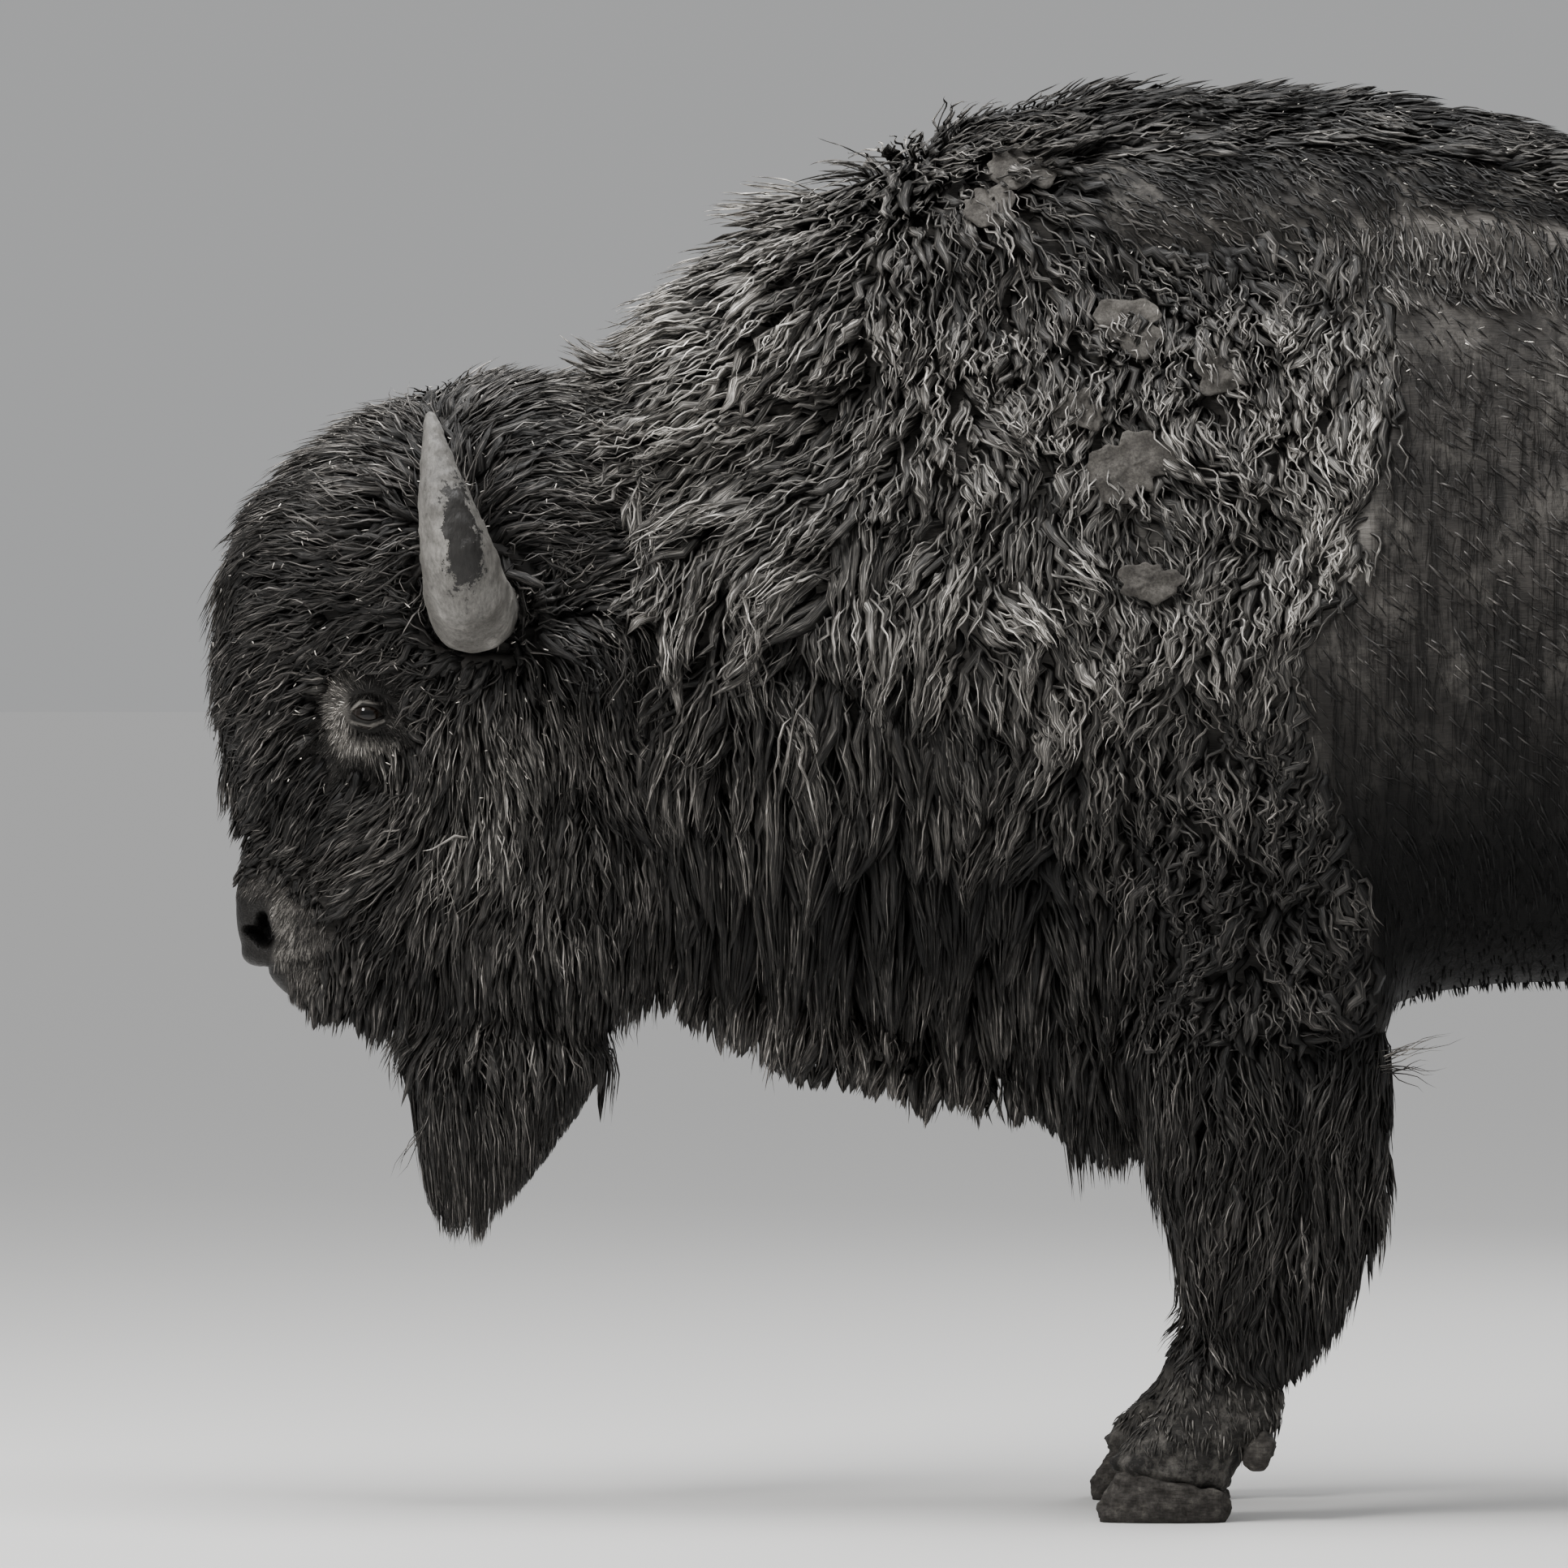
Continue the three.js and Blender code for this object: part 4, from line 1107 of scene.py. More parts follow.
def unwrap(p, regions):
    """Each point's place on the skin's own unwrap: round and along each of the body's long forms."""
    x, y, z = p.T
    head = regions.head(p) > 0.5
    leg = (z < 0.62) & ~head
    u = (x - LOW[0]) / LENGTH
    v = np.arctan2(y, z - 1.08) / (2 * math.pi) + 0.5
    u = np.where(head, np.arctan2(y, -(x + 1.15)) / (2 * math.pi) + 0.5, u)
    v = np.where(head, (z - 0.33) / 1.15, v)
    leg_x = np.where(x < 0.3, -0.16, 1.26)
    around_leg = np.arctan2(np.abs(y) - 0.19, x - leg_x) / (4 * math.pi) + 0.25 + 0.5 * (y > 0)
    u = np.where(leg, around_leg, u)
    v = np.where(leg, z / 0.65, v)
    return np.column_stack([u, v])


def fitted_patch(uv):
    """An unwrap stretched to fill its map, with room at the edges for the tufts' own size."""
    low, high = uv.min(axis=0), uv.max(axis=0)
    return 2 * OFBAKE_PATCH + (1 - 4 * OFBAKE_PATCH) * (uv - low) / np.maximum(high - low, 1e-6)


def comb(skin, regions, rng, roots, normals, kind, out=0.0):
    """Lays locks from their roots along the coat. out is how far out in its clump each root stands."""
    count = len(roots)
    long = at_roots(kind["length"], roots) * np.clip(rng.lognormal(0, 0.24, count), 0.55, 1.6)
    deep = at_roots(kind["depth"], roots) * rng.uniform(*kind["high"], count)
    deep = deep * np.clip(0.92 + 0.26 * RELIEF_FIELD(roots), 0.45, 1.12)
    smooth_top = 1 - 0.7 * regions.crest(roots)
    hollow = (kind["hollow"] + (1 - kind["hollow"]) * 0.55 * kind["parted"](roots)) * smooth_top
    deep = deep * (1 - hollow * np.clip(out, 0, 1) ** 1.5)
    hang = smoothstep(0.25, 0.85, -normals[:, 2])
    long = np.minimum(long, np.where(hang > 0.3, (1.6 * deep + 0.012) / np.maximum(hang, 0.3), long))
    if "floor" in kind:
        room = np.maximum(roots[:, 2] - kind["floor"](roots), 0.02)
        deep = np.where(hang > 0.1, np.minimum(deep, 0.6 * room), deep)
        long = np.minimum(long, room * rng.uniform(kind["ragged"], 1.06, count))
    way = lie(roots, normals, regions)
    turn = kind["jitter"] * rng.normal(size=count) * np.where(rng.random(count) < kind["stray"], 2.5, 1.0)
    turn += kind["swirl"] * (0.35 * TURN_FIELD(roots) + 0.30 * SWIRL_FIELD(roots))
    turn *= 1 - 0.5 * regions.crest(roots)
    way = turned(way, normals, turn)
    return lock_paths(skin, rng, roots, normals, way, long, deep, kind)


def grow(name, slot, skin, regions, weight, seed, **kind):
    """Grows one layer of the coat as joined meshes of under 200,000 triangles each."""
    rng = np.random.default_rng(SEED * 100 + seed)
    roots, normals = skin.scatter(rng, kind["spacing"] / math.sqrt(DENSITY), weight)
    count = len(roots)
    out = np.zeros(count)
    if kind["massing"]:
        clumps = Clumps(skin, regions, weight, kind)
        clump, out = clumps.of(roots)
    path, frames = comb(skin, regions, rng, roots, normals, kind, out)
    leader = gather_near(path, roots, rng, kind["clump"], kind["gather"], kind["stray"])
    if kind["massing"]:
        strength = kind["massing"] * (1 - 0.6 * regions.crest(roots)) + 0.45 * kind["parted"](roots)
        clumps.gather(path, clump, strength[:, None])
    wide = kind["width"] * rng.uniform(0.6, 1.4, count) / DENSITY**0.25  # wider where there are fewer
    twist = rng.normal(size=(count, 2)) * np.array([0.30, 0.55])
    lean = rng.uniform(-0.5, 0.5, count)
    vary = kind["vary"]
    shade = rng.uniform(1 - vary, 1 + vary, count) * rng.uniform(1 - vary, 1 + 0.8 * vary, count)[leader]
    # Painted shade: locks standing out at the edges of their clumps are darker, most where the neck's wool is
    # parted.
    gap = kind["gap"] + 0.30 * kind["parted"](roots)
    shade *= np.clip(1 + 0.30 * RELIEF_FIELD(roots), 0.5, 1.5) * (1.15 - gap * np.clip(out, 0, 1))
    colour = markings_with_painted_shade(roots, regions) * (shade * kind["tone"])[:, None]
    bleach = kind["bleach"] * rng.random(count) * rng.uniform(0.3, 1.4, count)[leader]
    patch = unwrap(roots, regions)
    # Cut along the body into pieces small enough for one map each.
    total = count * (6 * (kind["segments"] - 1) + 4)
    pieces = max(1, math.ceil(total / PIECE_LIMIT))
    order = np.argsort(roots[:, 0] + 0.001 * roots[:, 2])
    for i, part in enumerate(np.array_split(order, pieces)):
        label = name if pieces == 1 else f"{name}_{i + 1}"
        piece = lock_mesh(label, path[part], frames[part], wide[part], twist[part], lean[part],
                          colour[part], bleach[part], fitted_patch(patch[part]), kind)
        COAT_PIECES.append(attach(piece, "root"))
    print(f"{name}: {count} locks, {total} triangles, {pieces} pieces")


# ---------------------------------------------------------------- materials


class Nodes:
    """A tree of shading nodes being wired up. Each method adds a node and returns one of its outputs."""

    def __init__(self, tree):
        self.tree = tree

    def node(self, kind, inputs, output=0, **settings):
        node = self.tree.nodes.new("ShaderNode" + kind)
        for key, value in settings.items():
            setattr(node, key, value)
        for key, value in inputs.items():
            self.feed(node.inputs[key], value)
        return node.outputs[output]

    def feed(self, socket, value):
        if isinstance(value, bpy.types.NodeSocket):
            self.tree.links.new(value, socket)
        else:
            socket.default_value = value

    def painted(self, layer, output="Color"):
        return self.node("Attribute", {}, output, attribute_name=layer)

    def place(self, squeeze=(1.0, 1.0, 1.0), turn=0.0):
        """Places on the object, turned about Y and squeezed along the axes."""
        here = self.node("TexCoord", {}, "Object")
        return self.node("Mapping", {"Vector": here, "Rotation": (0.0, turn, 0.0), "Scale": squeeze})

    def noise(self, vector, scale, detail=3.0, rough=0.6, distortion=0.0, **settings):
        values = {"Scale": scale, "Detail": detail, "Roughness": rough, "Distortion": distortion}
        return self.node("TexNoise", {"Vector": vector, **values}, **settings)

    def shades(self, value, *stops):
        """A colour or a grey for each stretch of a value, from (place, colour) pairs."""
        node = self.tree.nodes.new("ShaderNodeValToRGB")
        elements = node.color_ramp.elements
        while len(elements) < len(stops):
            elements.new(0.5)
        for element, (place, tint) in zip(elements, stops):
            element.position = place
            element.color = (*tint, 1) if isinstance(tint, tuple) else (tint, tint, tint, 1)
        self.feed(node.inputs["Fac"], value)
        return node.outputs["Color"]

    def span(self, value, low, high, start=0.0, end=1.0):
        """A value moved from between start and end to between low and high."""
        ends = {"From Min": start, "From Max": end, "To Min": low, "To Max": high}
        return self.node("MapRange", {"Value": value, **ends})

    def sum(self, a, b, operation="ADD"):
        return self.node("Math", {0: a, 1: b}, operation=operation)

    def product(self, a, b):
        return self.sum(a, b, "MULTIPLY")

    def scaled(self, colour, amount):
        return self.node("VectorMath", {0: colour, "Scale": amount}, operation="SCALE")

    def blend(self, amount, a, b, kind="MIX"):
        inputs = {"Factor": amount, "A": a, "B": b}
        return self.node("Mix", inputs, "Result", data_type="RGBA", blend_type=kind)

    def bump(self, height, distance, strength, under=None):
        inputs = {"Height": height, "Distance": distance, "Strength": strength}
        if under:
            inputs["Normal"] = under
        return self.node("Bump", inputs, "Normal")


class Look(Nodes):
    """A material being wired up."""

    def __init__(self, name, rough, specular):
        self.made = bpy.data.materials.new(name)
        self.made.use_nodes = True
        super().__init__(self.made.node_tree)
        self.shader = self.tree.nodes["Principled BSDF"]
        self.shader.inputs["Roughness"].default_value = rough
        self.shader.inputs["Specular IOR Level"].default_value = specular

    def dressed(self, **sockets):
        """The material, with the last values and outputs fed to the shader's sockets."""
        for name, value in sockets.items():
            self.feed(self.shader.inputs[name.replace("_", " ")], value)
        return self.made


def coat_material():
    """Hair in locks: the coat's own colours, streaked by single strands along each lock."""
    look = Look("coat", 0.50, 0.26)
    strand = look.node("UVMap", {}, uv_map="Strand")
    hair = look.noise(strand, 1.0, 2.0, 0.5, 0.8, noise_dimensions="2D")
    streaks = look.shades(hair, (0.34, 0.035), (0.50, 0.13), (0.62, 0.36), (0.72, 0.90))
    colour = look.blend(1.0, look.painted("coat"), look.scaled(streaks, 5.0), "MULTIPLY")
    return look.dressed(Base_Color=colour, Normal=look.bump(hair, 0.0020, 0.8))


def skin_material():
    """Short flat hair over skin, with the flank's upright folds, dried mud, and the bare grainy nose."""
    look = Look("skin", 0.6, 0.16)
    split = look.node("SeparateColor", {"Color": look.painted("marks")}).node
    fold_mask, bare_mask, pit_mask = (split.outputs[name] for name in ("Red", "Green", "Blue"))
    mud_mask = look.painted("marks", "Alpha")
    # Fine hair: noise stretched along the lie of the coat, backwards and down.
    hair = look.noise(look.place((60.0, 420.0, 620.0), 0.85), 1.0, 3.0, 0.65)
    # Upright wandering folds of the flank, under a finger's width apart, painted darker in their grooves and
    # a little lighter on their ridges: painted shade and light of the folds.
    folds = look.noise(look.place((1.0, 0.5, 0.09)), 85.0, 4.0, 0.55, 0.8)
    folds = look.shades(folds, (0.36, 0.0), (0.56, 1.0))
    ends = {"Factor": fold_mask, "A": 1.0, "B": look.span(folds, 0.42, 1.15)}
    fold_shade = look.node("Mix", ends, "Result", data_type="FLOAT")
    soft = look.noise(look.place((1.0, 1.0, 0.45)), 9.0, 4.0, 0.6)
    soft = look.span(soft, 0.55, 1.55, 0.35, 0.65)
    shade = look.product(look.product(fold_shade, soft), look.span(hair, 0.55, 1.5, 0.3, 0.7))
    colour = look.scaled(look.painted("coat"), shade)
    # Dried mud in specks and small crusts.
    specks = look.noise(look.place((1.0, 1.0, 0.8)), 34.0, 8.0, 0.76)
    specks = look.shades(specks, (0.46, 0.0), (0.68, 1.0))
    colour = look.blend(look.product(specks, mud_mask), colour, (*DUST * 0.75, 1))
    # The bare nose: pebbled and dark, darker in the cracks between the pebbles, which is painted shade.
    at = {"Vector": look.place(), "Scale": 420.0}
    pebbles = look.node("TexVoronoi", at, "Distance", feature="SMOOTH_F1")
    nose = look.shades(pebbles, (0.15, (0.016, 0.0148, 0.0136)), (0.75, (0.004, 0.0037, 0.0034)))
    # The nostrils are painted near black: painted shade in their pits.
    colour = look.blend(pit_mask, look.blend(bare_mask, colour, nose), (0.002, 0.002, 0.002, 1))
    normal = look.bump(look.product(folds, fold_mask), 0.004, 0.7)
    normal = look.bump(look.product(specks, mud_mask), 0.002, 0.5, normal)
    normal = look.bump(hair, 0.0016, 0.55, normal)
    normal = look.bump(look.product(pebbles, bare_mask), -0.0015, 0.8, normal)
    return look.dressed(Base_Color=colour, Roughness=look.span(bare_mask, 0.70, 0.46), Normal=normal)


def horn_material():
    """Worn grey horn: pale and flaking at its base, with a dark rubbed patch low on its face."""
    look = Look("horn", 0.5, 0.4)
    place = look.place((1.0, 1.0, 0.5))
    patches = look.noise(place, 22.0, 7.0, 0.66)
    grain = look.noise(place, 240.0, 4.0, 0.7)
    # The rubbed patch, with a torn edge.
    torn = look.span(look.noise(look.place(), 60.0, 7.0, 0.78), -1.5, 1.5)
    dark = look.shades(look.sum(look.painted("coat", "Alpha"), torn), (0.48, 0.0), (0.56, 1.0))
    level = look.node("SeparateXYZ", {"Vector": look.node("TexCoord", {}, "Object")}, "Z")
    low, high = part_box("horn_left")
    worn = look.shades(patches, (0.40, (0.095, 0.090, 0.082)), (0.52, (0.130, 0.124, 0.114)),
                       (0.66, (0.240, 0.230, 0.212)))
    plain = look.shades(patches, (0.30, (0.080, 0.076, 0.070)), (0.70, (0.140, 0.134, 0.124)))
    above = look.shades(look.span(level, 0.0, 1.0, low.z, high.z), (0.45, 0.0), (0.65, 1.0))
    colour = look.blend(above, worn, plain)
    colour = look.blend(dark, colour, (0.010, 0.009, 0.008, 1))
    colour = look.scaled(colour, look.span(grain, 0.60, 1.35, 0.3, 0.7))
    normal = look.bump(grain, 0.0010, 0.6, look.bump(patches, 0.0060, 0.7, look.bump(dark, -0.0015, 0.5)))
    return look.dressed(Base_Color=colour, Normal=normal)


def hoof_material():
    """Worn claws caked with mud, finely streaked from the coronet down to the toe."""
    look = Look("hoof", 0.8, 0.15)
    crust = look.noise(look.place(), 60.0, 7.0, 0.7)
    grain = look.noise(look.place((1.0, 1.0, 0.4)), 260.0, 4.0, 0.7)
    streaks = look.noise(look.place((50.0, 260.0, 380.0), -0.85), 1.0, 4.0, 0.65)
    mud = look.shades(crust, (0.34, (0.022, 0.020, 0.018)), (0.52, (0.036, 0.033, 0.030)),
                      (0.68, (0.070, 0.065, 0.058)))
    shade = look.product(look.span(streaks, 0.62, 1.38, 0.32, 0.68), look.span(grain, 0.7, 1.3, 0.3, 0.7))
    bumps = look.bump(streaks, 0.0015, 0.6, look.bump(crust, 0.0025, 0.6))
    return look.dressed(Base_Color=look.scaled(mud, shade), Normal=look.bump(grain, 0.001, 0.5, bumps))


def eye_material():
    """A dark brown iris with a level oval pupil, under a clear wet surface."""
    look = Look("eye", 0.05, 0.35)
    return look.dressed(Base_Color=look.painted("coat"))


def dress_skin(skin_obj, regions):
    """Gives the skin its colours, its masks for folds, bare nose, nostrils and mud, and its material."""
    p = points_of(skin_obj)
    x, z = p[:, 0], p[:, 2]
    short = 1 - np.maximum(regions.cape(p), regions.head(p))
    folded = short * smoothstep(0.75, 0.5, x) * smoothstep(0.60, 0.72, z) * smoothstep(1.50, 1.36, z)
    folded += 0.25 * short * smoothstep(0.5, 0.8, x)
    muddy = np.maximum(short * smoothstep(0.8, 1.2, z) * smoothstep(-0.6, 0.9, DUST_FIELD(p)) * 0.7, 0.0)
    muddy = np.maximum(muddy, smoothstep(0.18, 0.14, z))
    # Under the long wool the skin is painted darker: painted shade of the wool over it.
    covered = regions.cape(p) * (1 - regions.fringe(p)) * (1 - regions.face(p))
    paint(skin_obj, markings_with_painted_shade(p, regions) * (1 - 0.65 * covered)[:, None])
    paint(skin_obj, np.column_stack([folded, regions.bare(p), nostril_pits(p)]), muddy, "marks")
    skin_obj.data.materials.append(skin_material())


# ---------------------------------------------------------------- fitted pieces


def make_horn(side):
    """A horn's solid made smooth, with growth rings at its base and flakes worn off its face."""
    name = f"horn_{side}"
    horn = joined_copy(f"{name}_shell", [name])
    remeshed(horn, 0.0040)
    co, edges = points_of(horn), edges_of(horn)
    before = co.copy()
    co = relax(co, edges, 14)
    set_points(horn, co)
    n = normals_of(horn)
    # Smoothing draws the round form in a little: it is let out again by as much.
    co = co + n * np.clip(np.sum((before - co) * n, axis=1), 0, 0.004).mean()
    low, high = co[:, 2].min(), co[:, 2].max()
    up = (co[:, 2] - low) / (high - low)
    rings = np.sin(up * 34 + 1.2 * Waves(SEED + 20, 0.09)(co)) * smoothstep(0.55, 0.15, up)
    flakes = smoothstep(0.1, 0.9, Waves(SEED + 21, 0.035)(co)) * smoothstep(0.02, 0.3, up)
    co = co + n * (0.0007 * rings + 0.0012 * flakes - 0.0006)[:, None]
    set_points(horn, co)
    rubbed = side_blob(co, HORN[0] - 0.015, HORN[2] + 0.022, 0.020, 0.046)
    rubbed += side_blob(co, HORN[0] - 0.001, HORN[2] - 0.036, 0.023, 0.042)
    paint(smoothed(horn), np.ones((len(co), 3)), np.clip(rubbed, 0, 1))
    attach(horn, "root")
    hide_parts(name)
    return horn


def make_hoof(node):
    """A claw or dewclaw rounded and lumpy with mud, within its solid's own size, flat where it stands."""
    hoof = joined_copy(f"{node}_shell", [node])
    remeshed(hoof, 0.0030)
    co, edges = points_of(hoof), edges_of(hoof)
    low, high = co.min(axis=0), co.max(axis=0)
    floor = (co[:, 2] < low[2] + 0.0015) & (low[2] < 0.01)
    co = relax(co, edges, 10)
    small, large = co.min(axis=0), co.max(axis=0)
    co = low + (co - small) * (high - low) / (large - small)
    co[floor, 2] = low[2]
    set_points(hoof, co)
    grooves = np.sin((co[:, 2] + 0.3 * co[:, 0]) * 2 * math.pi / 0.008)
    move = 0.0004 * grooves + 0.0014 * Waves(SEED + 22, 0.022)(co) - 0.0010
    move *= smoothstep(low[2] + 0.002, low[2] + 0.008, co[:, 2])
    set_points(smoothed(hoof), co + normals_of(hoof) * move[:, None])
    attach(hoof, "root")
    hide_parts(node)
    return hoof


def make_eye(side):
    """An eyeball with a level oval pupil and a brown iris, and a raised clear front."""
    sign = SIDES[side]
    centre = middle(f"eye_{side}")
    rings, around = 48, 64
    verts, colour = [], []
    for i in range(rings + 1):
        polar = math.pi * i / rings
        for j in range(around):
            turn = 2 * math.pi * j / around
            x, y, z = math.sin(polar) * math.cos(turn), math.cos(polar), math.sin(polar) * math.sin(turn)
            r = EYE_RADIUS - 0.0008 + 0.0012 * math.exp(-((polar / 0.55) ** 2))
            verts.append((centre[0] + r * x, centre[1] + sign * r * y, centre[2] + r * z))
            pupil = math.hypot(x / 0.42, z / 0.24)
            iris = math.hypot(x, z) / 0.66
            if pupil < 1:
                colour.append((0.002, 0.002, 0.002))
            elif iris < 1:
                colour.append((0.009, 0.006, 0.0045))
            else:
                colour.append((0.020, 0.017, 0.015))
    faces = []
    for i in range(rings):
        for j in range(around):
            a, b = i * around + j, i * around + (j + 1) % around
            quad = (a, a + around, b + around, b)
            faces.append(quad if sign < 0 else quad[::-1])
    ball = new_mesh(f"eyeball_{side}", verts, faces)
    paint(ball, np.array(colour))
    welded(ball)
    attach(ball, "root")
    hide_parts(f"eye_{side}")
    return ball


# ---------------------------------------------------------------- mud, chaff and stray hair

# Plates of dried mud on the wool: place in the side view, and size across.
MUD_PLATES = [
    (-0.438, 1.655, 0.075),
    (-0.474, 1.606, 0.060),
    (-0.311, 1.470, 0.090),
    (-0.201, 1.415, 0.070),
    (-0.370, 1.367, 0.060),
    (-0.311, 1.298, 0.105),
    (-0.288, 1.158, 0.070),
]
# Single strands standing clear of the coat: start, end, how many, how far they spread, and their colour.
WISPS = [
    ((-0.03, -0.235, 0.565), (0.075, -0.235, 0.600), 9, 0.016, WOOL_MID),
    ((-0.01, -0.235, 0.560), (0.060, -0.235, 0.548), 7, 0.014, WOOL_DEEP),
    ((-1.165, -0.040, 0.520), (-1.222, -0.050, 0.425), 5, 0.006, BEARD),
    ((HORN[0] - 0.062, HORN[1] - 0.030, 1.286), (HORN[0] + 0.012, HORN[1] - 0.034, 1.280), 2, 0.003,
     WOOL_PALE),
]


STRAY_WIDTH = 0.0022


def chaff_field(p):
    return (p[:, 2] > 1.40) | (mop_field(p) & (p[:, 2] > 0.9))


def mud_material():
    """Dried mud: pale, grainy, and cracked."""
    look = Look("mud", 0.9, 0.1)
    grain = look.noise(look.place(), 320.0, 5.0, 0.75)
    lumps = look.noise(look.place(), 45.0, 6.0, 0.65)
    colour = look.shades(lumps, (0.35, (0.040, 0.037, 0.034)), (0.65, (0.080, 0.075, 0.068)))
    colour = look.scaled(colour, look.span(grain, 0.5, 1.5, 0.3, 0.7))
    normal = look.bump(grain, 0.001, 0.8, look.bump(lumps, 0.002, 0.6))
    return look.dressed(Base_Color=colour, Normal=normal)


def mud_plate(name, tree, x, z, size, sign, seed):
    """A thin closed plate with a torn edge, lying on the wool and following the body's side."""
    rings, around = 9, 54
    angle = circle(around)
    rng = np.random.default_rng(seed)
    torn = [rng.uniform(0.3, 1.0) * 0.40 / k * np.sin(k * angle + rng.uniform(0, 7)) for k in range(2, 14)]
    edge = 1 + sum(torn)
    spots, normals = [], []
    for i in range(rings + 1):
        reach = size / 2 * edge * i / rings
        for dx, dz in zip(reach * np.cos(angle), 0.75 * reach * np.sin(angle)):
            spot, normal, _, _ = tree.ray_cast(Vector((x + dx, sign, z + dz)), Vector((0, -sign, 0)))
            spots.append(spot[:])
            normals.append(normal[:])
    front = np.array(spots)
    front += np.array(normals) * (0.54 * wool_depth(front))[:, None]
    front[:, 1] += sign * (0.0016 * Waves(seed, 0.030)(front) + 0.0006 * Waves(seed + 1, 0.009)(front))
    rim = np.repeat(np.arange(rings + 1) / rings, around)
    back = front.copy()
    back[:, 1] -= sign * (0.001 + 0.010 * (1 - rim**3))
    # Quads between the rings in front, the same turned over at the back, and a band round the rim.
    count = len(front)
    a = np.arange(count).reshape(-1, around)
    b = np.roll(a, -1, axis=1)
    quads = np.stack([a[:-1], b[:-1], b[1:], a[1:]], axis=-1).reshape(-1, 4)
    band = np.stack([a[-1], b[-1], b[-1] + count, a[-1] + count], axis=-1)
    faces = np.concatenate([quads, quads[:, ::-1] + count, band]).tolist()
    plate = new_mesh(name, np.concatenate([front, back]), faces)
    # Its map: the front laid out in one half, the back in the other.
    flat = 0.21 * rim[:, None] * np.tile(np.column_stack([np.cos(angle), np.sin(angle)]), (rings + 1, 1))
    flat = np.concatenate([flat + (0.25, 0.5), flat + (0.75, 0.5)])
    add_map(plate, "OFBake", flat[read(plate.data.loops, "vertex_index", 1)[:, 0]])
    return welded(plate)


def loose_strands(name, start, end, width, colour, wave, rng, rings=6):
    """Separate thin locks drawn from their starts to their ends, a little wavy."""
    count = len(start)
    t = np.linspace(0, 1, rings + 1)[None, :, None]
    aside = unit(np.cross(end - start, [0.0, 1.0, 0.0]))[:, None, :]
    phase = 7 * rng.random((count, 1, 1))
    path = start[:, None] * (1 - t) + end[:, None] * t + aside * wave * np.sin(9 * t + phase) * np.sqrt(t)
    side = np.sign(-start[:, 1] + 1e-9)[:, None, None]
    frames = np.tile([0.0, -1.0, 0.0], (count, rings + 1, 1)) * side
    patch = fitted_patch(unwrap(start, regions))
    twist, lean, none = rng.normal(size=(count, 2)) * 0.4, np.zeros(count), np.zeros(count)
    kind = {**STRANDS, "shadow": 1.0}
    obj = lock_mesh(name, path, frames, np.full(count, width), twist, lean, colour, none, patch, kind)
    COAT_PIECES.append(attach(obj, "root"))


def add_mud_and_strays(skin):
    """The mud plates, the loose hairs, and chaff and dust caught in the wool."""
    rng = np.random.default_rng(SEED + 50)
    look = mud_material()
    for side, sign in SIDES.items():
        for i, (x, z, size) in enumerate(MUD_PLATES):
            plate = mud_plate(f"mud_{i + 1}_{side}", skin.tree, x, z, size, sign, SEED + 60 + i)
            plate.data.materials.append(look)
            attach(plate, "root")
    for i, (start, end, count, spread, colour) in enumerate(WISPS):
        begin = np.array(start) + rng.normal(size=(count, 3)) * 0.4 * spread
        finish = np.array(end) + rng.normal(size=(count, 3)) * spread
        colours = np.tile(colour * 2, (count, 1))
        loose_strands(f"coat_wisp_{i + 1}", begin, finish, STRAY_WIDTH, colours, 0.004, rng)
    # Chaff and dust caught in the mop and on the hump.
    roots, normals = skin.scatter(rng, 0.036, chaff_field)
    deep = np.where(regions.head(roots) > 0.5, mop_depth(roots), regions.depth(roots))
    start = roots + normals * (deep * rng.uniform(0.5, 0.75, len(roots)))[:, None]
    way = turned(lie(roots, normals, regions), normals, 7 * rng.random(len(roots)))
    way = way * rng.uniform(0.003, 0.010, len(roots))[:, None]
    pale = DUST * rng.uniform(1.0, 4.0, len(roots))[:, None]
    loose_strands("coat_chaff", start, start + way, STRAY_WIDTH, pale, 0.0, rng, rings=2)


# ---------------------------------------------------------------- stage, light and camera


def make_stage():
    """A plain pale floor under an even sky that is brightest overhead."""
    bpy.ops.mesh.primitive_plane_add(size=300, location=(0, 0, -0.0005))
    floor = bpy.context.object
    floor.name = "floor"
    floor.data.materials.append(Look("floor", 0.9, 0.1).dressed(Base_Color=(0.60, 0.595, 0.585, 1)))
    world = bpy.data.worlds.new("studio")
    bpy.context.scene.world = world
    world.use_nodes = True
    sky = Nodes(world.node_tree)
    level = sky.node("SeparateXYZ", {"Vector": sky.node("TexCoord", {}, "Generated")}, "Z")
    overhead = (1.25, 1.26, 1.28)
    tints = sky.shades(level, (0.0, (0.54, 0.545, 0.55)), (0.2, (0.56, 0.565, 0.57)), (1.0, overhead))
    background = sky.tree.nodes["Background"]
    sky.feed(background.inputs["Color"], tints)
    background.inputs["Strength"].default_value = 0.75


def area_light(name, place, aim, size, power, colour=(1, 1, 1)):
    light = bpy.data.lights.new(name, "AREA")
    light.shape = "RECTANGLE"
    light.size, light.size_y = size
    light.energy = power
    light.color = colour
    obj = placed(name, light)
    obj.location = place
    obj.rotation_euler = (Vector(aim) - Vector(place)).to_track_quat("-Z", "Y").to_euler()


def make_lights():
    area_light("sky", (-0.9, -0.6, 4.8), (-0.4, 0, 0.9), (3.2, 2.4), 330)
    area_light("key", (-3.9, -3.2, 3.8), (-0.6, 0, 1.0), (1.6, 1.6), 230, (1.0, 0.985, 0.96))
    area_light("rim", (2.5, 4.5, 3.2), (0, 0, 1.1), (2.5, 2.0), 130)


